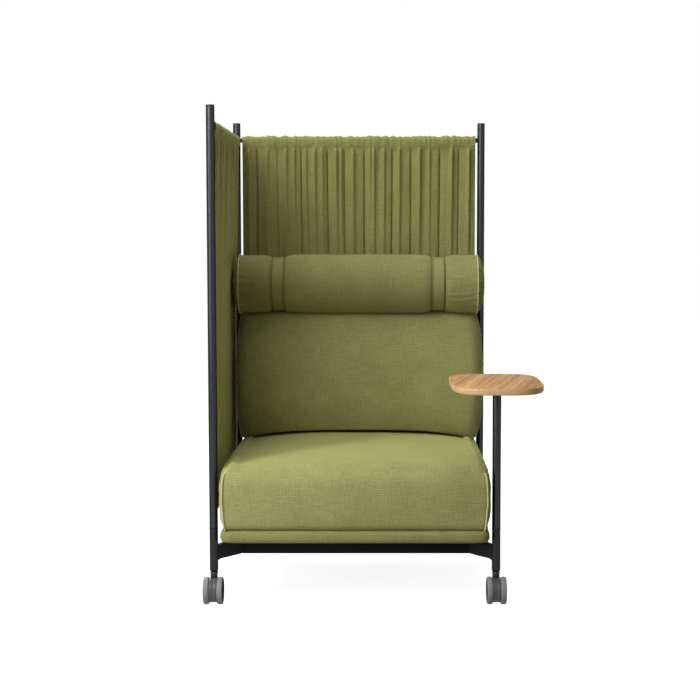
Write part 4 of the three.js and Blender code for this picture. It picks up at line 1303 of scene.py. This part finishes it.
def eased(share):
    """Spread points so that they crowd near both ends, where the cloth turns round."""
    return share * (1.5 - 0.5 * share * share)


def pillow_details(point, normal):
    """Soft swells, and puckers that fade away from the side seams."""
    swell = 1.3 * MM * ripple(point, 6, 51) + 0.5 * MM * ripple(point, 20, 52)
    side = abs(point.x - MID_X) / (PILLOW_HALF + PILLOW_BULGE)
    pucker = 1.1 * MM * fading((1 - side) * PILLOW_HALF, 26 * MM)
    pucker *= math.sin(point.z / (17 * MM) * math.tau + 3 * ripple(point, 10, 53))
    return point + normal * (swell + pucker)


def pillow(cuts_x, cuts_z):
    """Two flat panels, far apart at first so that each keeps its own cloth, become a pillow."""
    bm = bmesh.new()
    for face_side in (-1, 1):
        bmesh.ops.create_grid(bm, x_segments=cuts_x, y_segments=cuts_z, size=1,
                              matrix=Matrix.Translation(Z_AXIS * face_side))
    lay_uv(bm, lambda place, face: (
        eased(place.x) * PILLOW_HALF,
        eased(place.y) * PILLOW_HEIGHT / 2 + math.copysign(PILLOW_CLOTH, place.z)))
    seam = []
    for vert in bm.verts:
        flat = vert.co.copy()
        on_seam = max(abs(flat.x), abs(flat.y)) > 1 - 1e-6
        if on_seam and flat.z < 0:
            seam.append((math.atan2(flat.y, flat.x), vert))
        face_side = 0 if on_seam else math.copysign(1, flat.z)
        vert.co = pillow_point(eased(flat.x), eased(flat.y), face_side)
    bmesh.ops.remove_doubles(bm, verts=bm.verts[:], dist=WELD)
    bmesh.ops.recalc_face_normals(bm, faces=bm.faces[:])
    bm.normal_update()
    for vert in bm.verts:
        vert.co = give_way(pillow_details(vert.co, vert.normal))
    bm.normal_update()
    kept = sorted((knot for knot in seam if knot[1].is_valid), key=lambda knot: knot[0])
    return bm, [vert.co + vert.normal * CORD_PROUD * 0.5 for _, vert in kept]


pillow_blank, pillow_cord = pillow(84, 56)
back_pad = made(pillow_blank, "back_pad", WOOL, stands_for=["back_cushion"],
                sharp=80)
cord_along(pillow_cord, "back_piping", PILLOW_PIPING)

# %% [markdown]
# ## Back panel
# Behind the pillow stands a thin upholstered panel, its upper corners well rounded.

# %% Back panel
PANEL_RADII = [6 * MM, 6 * MM, 42 * MM, 42 * MM]
PANEL_EDGE = 12 * MM
PANEL_EDGE_START = 2 * MM
PANEL_EDGE_SHARE = 0.45


def panel_point(place):
    low, high = panel_low, panel_high
    x, z = rounded(place.x, place.z, (low.x, high.x), (low.z, high.z), PANEL_RADII)
    room = min(x - low.x, high.x - x, z - low.z, high.z - z)
    thick = dome(room + PANEL_EDGE_START, PANEL_EDGE)
    middle_y = (low.y + high.y) / 2
    share = PANEL_EDGE_SHARE + (1 - PANEL_EDGE_SHARE) * thick
    return Vector((x, middle_y + (place.y - middle_y) * share, z))


panel_blank = gridded_box(panel_low, panel_high, (60, 3, 40))
for vert in panel_blank.verts:
    vert.co = panel_point(vert.co)
back_cover = made(panel_blank, "panel_cover", WOOL, stands_for=["back_panel"],
                  sharp=60)

# %% [markdown]
# ## Straps
# Two flat bands of the same wool run round the roll and the bar behind it, as a belt runs
# round two pulleys, and hold the roll at neck height. Webbing is flat and even, so it is
# modelled directly: a strip laid along the belt's path, then given its thickness. A row of
# dark stitches runs along each of its edges.

# %% Straps
STRAP_THICK = 2 * MM
STRAP_LIFT = 0.35 * MM
STRAP_EDGE_DIP = 0.5 * MM
STRAP_CLOTH = 3
STITCH_INSET = 2.6 * MM
STITCH_RADIUS = 0.6 * MM
bar_upper = middle("back_rail_upper")
groove = ROLL_RADIUS - PINCH + STRAP_LIFT
bar_radius = size("back_rail_upper").z / 2 + STRAP_LIFT


def belt():
    """Stations along the belt's path: the axis that each turns round, its radius and angle."""
    facing = angle_round(bar_upper, roll_axis)
    apart = math.hypot(roll_axis.y - bar_upper.y, roll_axis.z - bar_upper.z)
    spread = math.acos((groove - bar_radius) / apart)
    long_way = math.tau - 2 * spread
    stations = [(roll_axis, groove, facing + math.pi - spread - long_way * step / 96)
                for step in range(97)]
    stations += [(bar_upper, bar_radius, facing + math.pi + spread - 2 * spread * step / 16)
                 for step in range(17)]
    return stations


def strap(name):
    strap_x = strap_middles[name]
    stations = belt()
    rows = len(stations)
    bm = bmesh.new()
    bmesh.ops.create_grid(bm, x_segments=8, y_segments=rows, size=0.5)
    lay_uv(bm, lambda place, face: (place.x * 2 * STRAP_HALF + STRAP_CLOTH,
                                    place.y * math.tau * groove))
    for vert in bm.verts:
        centre, radius, turn = stations[round((vert.co.y + 0.5) * rows) % rows]
        dip = STRAP_EDGE_DIP * (abs(vert.co.x) * 2) ** 6
        x = strap_x + vert.co.x * 2 * STRAP_HALF
        vert.co = around_x(centre, x, radius - dip, turn)
    # The strap's darker wool is painted shade, like the roll's.
    band = made(bm, "strap_band_" + name, WOOL_PAINTED_SHADE,
                stands_for=["neck_strap_" + name], sharp=80)
    thicken(band, STRAP_THICK, 1)
    for edge, hand in SIDES.items():
        x = strap_x + hand * (STRAP_HALF - STITCH_INSET)
        cord_along([around_x(centre, x, radius + STRAP_THICK, turn)
                    for centre, radius, turn in stations],
                   "strap_stitch_%s_%s" % (name, edge), STITCH_RADIUS, THREAD, 1)


for name in SIDES:
    strap(name)

# %% [markdown]
# ## Curtains
# A curtain is one length of cloth, gathered on a rod. It runs in a sleeve over the rod, is
# sewn through below it, and falls in folds that are sharp at the stitching and soften on the
# way down. The cloth is laid out as a grid and each point is pushed out or in by the folds:
# narrow ridges and creases at places read off the photograph, and broad slow swells.

# %% Fold patterns
# Folds are read from the left end: each is its share of the width and its height in mm.
# High ones are ridges, low ones are creases between two pleats.
BACK_FOLDS = [
    (0.0, -2), (0.029, 4), (0.062, -7), (0.108, 5), (0.150, -3), (0.187, 5), (0.205, 0),
    (0.222, 5), (0.252, -7), (0.272, 4), (0.290, 0), (0.309, 6), (0.342, 4), (0.364, -7),
    (0.402, 6), (0.413, 2), (0.424, 4), (0.437, -4), (0.475, 7), (0.524, -7), (0.548, 3),
    (0.565, 6), (0.590, 0), (0.608, 5), (0.644, -7), (0.674, 6), (0.700, 1), (0.725, -6),
    (0.761, 7), (0.785, 1), (0.803, 3), (0.848, -7), (0.870, 2), (0.899, 7), (0.930, -4),
    (0.973, 6), (1.0, -2)]
SIDE_FOLDS = [
    (0.0, -1), (0.035, 5), (0.060, -2), (0.095, 1), (0.125, 3), (0.150, -3), (0.200, 1),
    (0.235, 5), (0.260, -3), (0.300, 1), (0.335, 4), (0.360, -2), (0.400, 1), (0.450, 5),
    (0.475, -3), (0.520, 0), (0.555, 3), (0.580, -2), (0.630, 1), (0.665, 5), (0.690, -3),
    (0.735, 0), (0.770, 4), (0.795, -2), (0.845, 1), (0.880, 5), (0.905, -3), (0.940, 1),
    (0.970, 3), (1.0, 1)]
GATHERED = 0.45
GATHER_FADE = 90 * MM
FULL_FALL = 60 * MM
FREE_FALL = 200 * MM
CALM_RUN = 150 * MM
CALM_SHARE = 0.45
SETTLE_FALL = 300 * MM
FOLD_GROWTH = 0.38
RIDGE_LEAST = 3
RIDGE_REACH = 36 * MM
LIT_FLANK = 5 * MM
SHADED_FLANK = 2.4 * MM
CREASE_LEAST = 2
CREASE_REACH = 24 * MM
CREASE_DEEP = 15 * MM
CREASE_WIDE = 2.2 * MM
TOP_FORWARD = 5 * MM
TOP_FADE = 150 * MM


def pleated(share, folds, sharpness):
    """The height of the pleats there: the sharper they are, the narrower is each ridge."""
    share = clamped(share)
    for (before, first), (after, second) in zip(folds, folds[1:]):
        if share <= after:
            part = (share - before) / (after - before)
            part = part if first < second else 1 - part
            round_part = math.sin(math.pi / 2 * part)
            part = round_part + (part ** 2.2 - round_part) * sharpness
            return (min(first, second) + abs(second - first) * part) * MM
    return folds[-1][1] * MM


def ridges(place, fall, width, folds, tall):
    """What the single ridges and creases add: a ridge is steeper on its shaded flank."""
    total = 0.0
    wider = 1 + 1.1 * min(fall / SETTLE_FALL, 1) ** 1.3
    for fold, height in folds:
        away = (place - fold) * width
        if height >= RIDGE_LEAST and abs(away) < RIDGE_REACH:
            flank = (LIT_FLANK if away < 0 else SHADED_FLANK) * wider
            rise = tall * min(height / 5, 1.3) * (0.65 + 0.5 * fading(fall, GATHER_FADE))
            total += rise * math.exp(-(away / flank) ** 2) * min(1, fall / (5 * MM))
        elif height <= -CREASE_LEAST and abs(away) < CREASE_REACH:
            deep = CREASE_DEEP * min(-height / 6, 1.2)
            total -= deep * fading(abs(away), CREASE_WIDE) * min(1, fall / (30 * MM))
    return total


# %% Curtain cloth
STITCH_DROP = 24.8 * MM
STITCH_DEEP = 5 * MM
STITCH_REACH = 3 * MM
BELOW_STITCH = 12 * MM
CLOTH_THICK = 1.5 * MM
CLOTH_COLUMNS = 600
CLOTH_SLACK = 1.22
FALL_ROWS = 56
ROW_STEP = 3 * MM
SLEEVE_GAP = 1.2 * MM
SLEEVE_ROOM = 0.8 * MM
SLEEVE_RUFFLE = 4 * MM
SLEEVE_CREST = 3.2 * MM
TAIL_LENGTH = 7 * MM
SIDE_EDGE = 14 * MM
LEAN_START = 0.4
LEAN_SPREAD = 0.25
LEAN_RUN = 32 * MM
ROLL_CLEAR = 2.5 * MM
lean_z = roll_high.z - 22 * MM


class Curtain:
    """along is the curtain's run, and toward points to the sitter's side of it. lean is how
    far its far half shifts that way below the roll's top, lowest is how deep a fold may go,
    and tall is the height of its single ridges."""

    def __init__(self, node, rod_node, along, toward, folds, seed, lean, lowest, tall):
        low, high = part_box(node)
        rod = middle(rod_node)
        self.node, self.along, self.toward = node, along, toward
        self.folds, self.seed = folds, seed
        self.lean, self.lowest, self.tall = lean, lowest, tall
        self.width = abs((high - low).dot(along))
        self.start = Vector((low.x, rod.y, 0) if along.x else (rod.x, low.y, 0))
        self.hem_z, self.rod_z = low.z, rod.z
        self.stitch_z = rod.z - STITCH_DROP
        self.sleeve = size(rod_node).z / 2 + SLEEVE_GAP + CLOTH_THICK

    def rows(self):
        """The rows of the cloth, from the hem up, over the rod and down behind the stitch."""
        drop = self.stitch_z - self.hem_z
        rows = [("fall", self.stitch_z - drop * (row / FALL_ROWS) ** 1.25)
                for row in range(FALL_ROWS, -1, -1)]
        rows += [("front", step / 5) for step in range(1, 5)]
        rows += [("arc", math.pi * step / 10) for step in range(11)]
        rows += [("back", 1 - step / 4) for step in range(1, 5)]
        return rows + [("tail", 0.5), ("tail", 1.0)]

    def noise(self, across, down, seed, third=None):
        """Smooth noise over the cloth. The third place is the curtain's own seed or one given."""
        third = self.seed if third is None else third
        return ripple((across, down, third), 1, seed)

    def folded(self, share, fall):
        """How far the cloth stands towards the sitter, at a fall below the stitch."""
        seed = self.seed
        settled = min(fall / SETTLE_FALL, 1)
        place = share + 0.012 * settled * self.noise(share * 3, fall * 1.3, seed)
        grown = GATHERED + (1 - GATHERED) * math.sin(math.pi / 2 * min(fall / FULL_FALL, 1))
        total = pleated(place, self.folds, 0.3) * grown * FOLD_GROWTH
        total += TOP_FORWARD * fading(fall, TOP_FADE)
        total += ridges(place, fall, self.width, self.folds, self.tall)
        if total > 0:
            total *= 1 - CALM_SHARE * clamped((fall - FREE_FALL) / CALM_RUN)
        total = max(total, self.lowest)
        total += 2.0 * MM * settled * self.noise(share * 7, fall * 0.7, seed + 7)
        small = self.noise(share * 60, fall * 2.5, seed + 8)
        return total + small * (1.5 * MM * fading(fall, GATHER_FADE) + 0.5 * MM)

    def section(self, share, kind, value):
        """How far out and how high a point lies: share is across, and the rest is its row."""
        seed = self.seed
        sewn = self.sleeve * 0.75 + pleated(share, self.folds, 0.3) * 0.3
        tuck = STITCH_DEEP * max(0, self.noise(share * 34, seed, seed + 5, 5) + 0.1)
        if kind == "fall":
            fall = self.stitch_z - value
            below = min(fall / BELOW_STITCH, 1) ** 0.7
            out = sewn * (1 - below) + self.folded(share, fall) * below
            out -= tuck * fading(fall, STITCH_REACH)
            edge = min(share, 1 - share) * self.width
            return out * (0.6 + 0.4 * min(edge / SIDE_EDGE, 1)), value
        if kind == "tail":
            out = sewn - CLOTH_THICK - 0.4 * MM - value * 0.5 * MM
            return out, self.stitch_z - value * TAIL_LENGTH
        puff = 0.5 * MM + SLEEVE_RUFFLE * self.noise(share * 72, seed, seed + 3, 0)
        puff += 0.2 * pleated(share, self.folds, 0.5)
        round_rod = self.sleeve + SLEEVE_ROOM + max(puff, -0.6 * MM)
        if kind == "arc":
            crest = 0.3 * MM + SLEEVE_CREST * max(0, self.noise(share * 38, seed, 9, 3))
            return round_rod * math.cos(value), self.rod_z + (round_rod + crest) * math.sin(value)
        swell = 1 - (1 - value) ** 2.2
        out = sewn * (1 - swell) + (round_rod if kind == "front" else -round_rod) * swell
        if kind == "back":
            out -= (1 - swell) * (CLOTH_THICK + FIT_GAP)
        out -= tuck * fading(value * STITCH_DROP, STITCH_REACH)
        return out, self.stitch_z + STITCH_DROP * value

    def placed(self, share, kind, value):
        out, z = self.section(share, kind, value)
        down = clamped((lean_z + LEAN_RUN - z) / LEAN_RUN)
        leaning = self.lean * down * down * (3 - 2 * down)
        out += leaning * clamped((share - LEAN_START) / LEAN_SPREAD)
        spot = self.start + self.along * share * self.width + self.toward * out + Z_AXIS * z
        if self.along.y:
            off_axis = math.hypot(spot.y - roll_axis.y, spot.z - roll_axis.z)
            panel = (ROLL_BULGE + ROLL_OVER) * dome(1 - off_axis / ROLL_RADIUS, PANEL_RIM)
            spot.x = min(spot.x, roll_axis.x - ROLL_HALF - panel - ROLL_CLEAR)
        return spot

    def cloth(self, name):
        rows = self.rows()
        last = len(rows) - 1
        run = [0.0]
        for (kind, value), (_, below) in zip(rows[1:], rows):
            run.append(run[-1] + (abs(value - below) if kind == "fall" else ROW_STEP))

        def row_of(place):
            return round((place.y + 0.5) * last)

        bm = bmesh.new()
        bmesh.ops.create_grid(bm, x_segments=CLOTH_COLUMNS, y_segments=last, size=0.5)
        lay_uv(bm, lambda place, face: (
            (place.x + 0.5) * self.width * CLOTH_SLACK + self.seed, run[row_of(place)]))
        for vert in bm.verts:
            vert.co = self.placed(vert.co.x + 0.5, *rows[row_of(vert.co)])
        piece = made(bm, name, CURTAIN_CLOTH, stands_for=[self.node], sharp=180)
        area = sum(face.area for face in piece.data.polygons)
        length = self.rod_z - self.hem_z + STITCH_DROP + math.pi * self.sleeve + TAIL_LENGTH
        print("%s: %.3f square metres, %.3f m long, so %.3f m wide when flat" % (
            name, area, length, area / length))
        thicken(piece, CLOTH_THICK, 0)
        return piece


back_run = Curtain("curtain_back", "curtain_rod_back", X_AXIS, -Y_AXIS, BACK_FOLDS, seed=1.0,
                   lean=0.0, lowest=-18 * MM, tall=15 * MM)
side_run = Curtain("curtain_side", "curtain_rod_side", Y_AXIS, X_AXIS, SIDE_FOLDS, seed=2.0,
                   lean=-9 * MM, lowest=-12 * MM, tall=7 * MM)
cloth_back = back_run.cloth("curtain_cloth_back")
cloth_side = side_run.cloth("curtain_cloth_side")

# %% [markdown]
# ## Tablet
# An oak board with a rounded oblong outline, a small round on its upper edge and a wider
# undercut below, on a black steel flange that swivels on the short post. The outline is a
# circle pulled out to a squarer curve. The board is that outline given thickness.

# %% Tablet
TABLET_NEAR_POWER = 3.5
TABLET_FAR_POWER = 4.4
TABLET_STEPS = 128
TABLET_EDGE = 2 * MM
TABLET_UNDERCUT = 5 * MM
FLANGE_HUB = 16 * MM
FLANGE_BORE = 6.4 * MM
FLANGE_THICK = 5 * MM
FLANGE_EDGE = 0.8 * MM


def squarer(value, power):
    return math.copysign(abs(value) ** (2 / power), value)


def tablet_board():
    low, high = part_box("tablet_top")
    centre = (low + high) / 2
    half = (high - low) / 2
    bm = bmesh.new()
    bmesh.ops.create_circle(bm, segments=TABLET_STEPS, radius=1, cap_ends=True)
    for vert in bm.verts:
        turn = math.atan2(vert.co.y, vert.co.x)
        power = TABLET_FAR_POWER if vert.co.y > 0 else TABLET_NEAR_POWER
        vert.co = Vector((centre.x + half.x * squarer(math.cos(turn), power),
                          centre.y + half.y * squarer(math.sin(turn), power), low.z))
    raised = bmesh.ops.extrude_face_region(bm, geom=bm.faces[:])["geom"]
    risen = [item for item in raised if isinstance(item, bmesh.types.BMVert)]
    bmesh.ops.translate(bm, verts=risen, vec=Z_AXIS * (high.z - low.z))
    bmesh.ops.recalc_face_normals(bm, faces=bm.faces[:])
    soften(bm, TABLET_UNDERCUT, 5, chosen=lambda edge: top_of(edge) < centre.z)
    soften(bm, TABLET_EDGE, 4, chosen=lambda edge: bottom_of(edge) > centre.z)
    bm.normal_update()
    for face in bm.faces:
        face.material_index = 1 if face.normal.z < 0.8 else 0
    board = made(bm, "tablet_board", OAK, "tablet", ["tablet_top"], sharp=40)
    board.data.materials.append(OAK_RIM)


def tablet_fittings():
    low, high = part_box("tablet_flange")
    plate = (high.x - low.x) / 2
    shelf = high.z - FLANGE_THICK
    profile = [(FLANGE_BORE, low.z), (FLANGE_HUB, low.z), (FLANGE_HUB, shelf), (plate, shelf),
               (plate, high.z), (FLANGE_BORE, high.z), (FLANGE_BORE, low.z)]
    bm = spun(profile, foot("tablet_flange"), Z_AXIS, ROUND_STEPS)
    soften(bm, FLANGE_EDGE, 2)
    made(bm, "flange_plate", FRAME_PAINT, "tablet", ["tablet_flange"])


tablet_board()
tablet_fittings()

# %% [markdown]
# ## Floor
# A plain pale floor. It is white to the camera, as the studio floor in the photograph is
# once it is lit, and it still darkens a little under the chair, which sets it on the ground.

# %% Floor
FLOOR_GLOW = 0.9
GLOW_REACH = 1.6
floor_bm = bmesh.new()
bmesh.ops.create_grid(floor_bm, x_segments=1, y_segments=1, size=14)
floor_mesh = bpy.data.meshes.new("floor")
floor_bm.to_mesh(floor_mesh)
floor_bm.free()
floor = bpy.data.objects.new("floor", floor_mesh)
bpy.context.scene.collection.objects.link(floor)
ground = Finish("studio_floor", 0.9, specular=0.0)
paper = ground.noise(ground.place(), 3, 2)
spread = ground.node("ShaderNodeVectorMath", {0: ground.place()}, operation="LENGTH")
far = ground.math("MULTIPLY", spread.outputs["Value"], 1 / GLOW_REACH, clamp=True)
glow = ground.math("MULTIPLY_ADD", far, 1 - FLOOR_GLOW, FLOOR_GLOW)
ground.surface({
    "Base Color": ground.ramp(paper, (0.2, grey(0.40)), (0.8, grey(0.44))),
    "Emission Color": grey(1),
    "Emission Strength": ground.math("MULTIPLY", ground.watched(), glow)})
floor_mesh.materials.append(ground.material)

# %% [markdown]
# ## Finishes for what is left of the frame
# The few solids that are still shown from the frame get a finish like their neighbours'.

# %% Finishes for the frame's own solids
for name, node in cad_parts.items():
    if not node.hide_render:
        node.data.materials.clear()
        node.data.materials.append(STEEL if name == "tablet_pivot" else FRAME_PAINT)
        print("kept from the frame:", name)
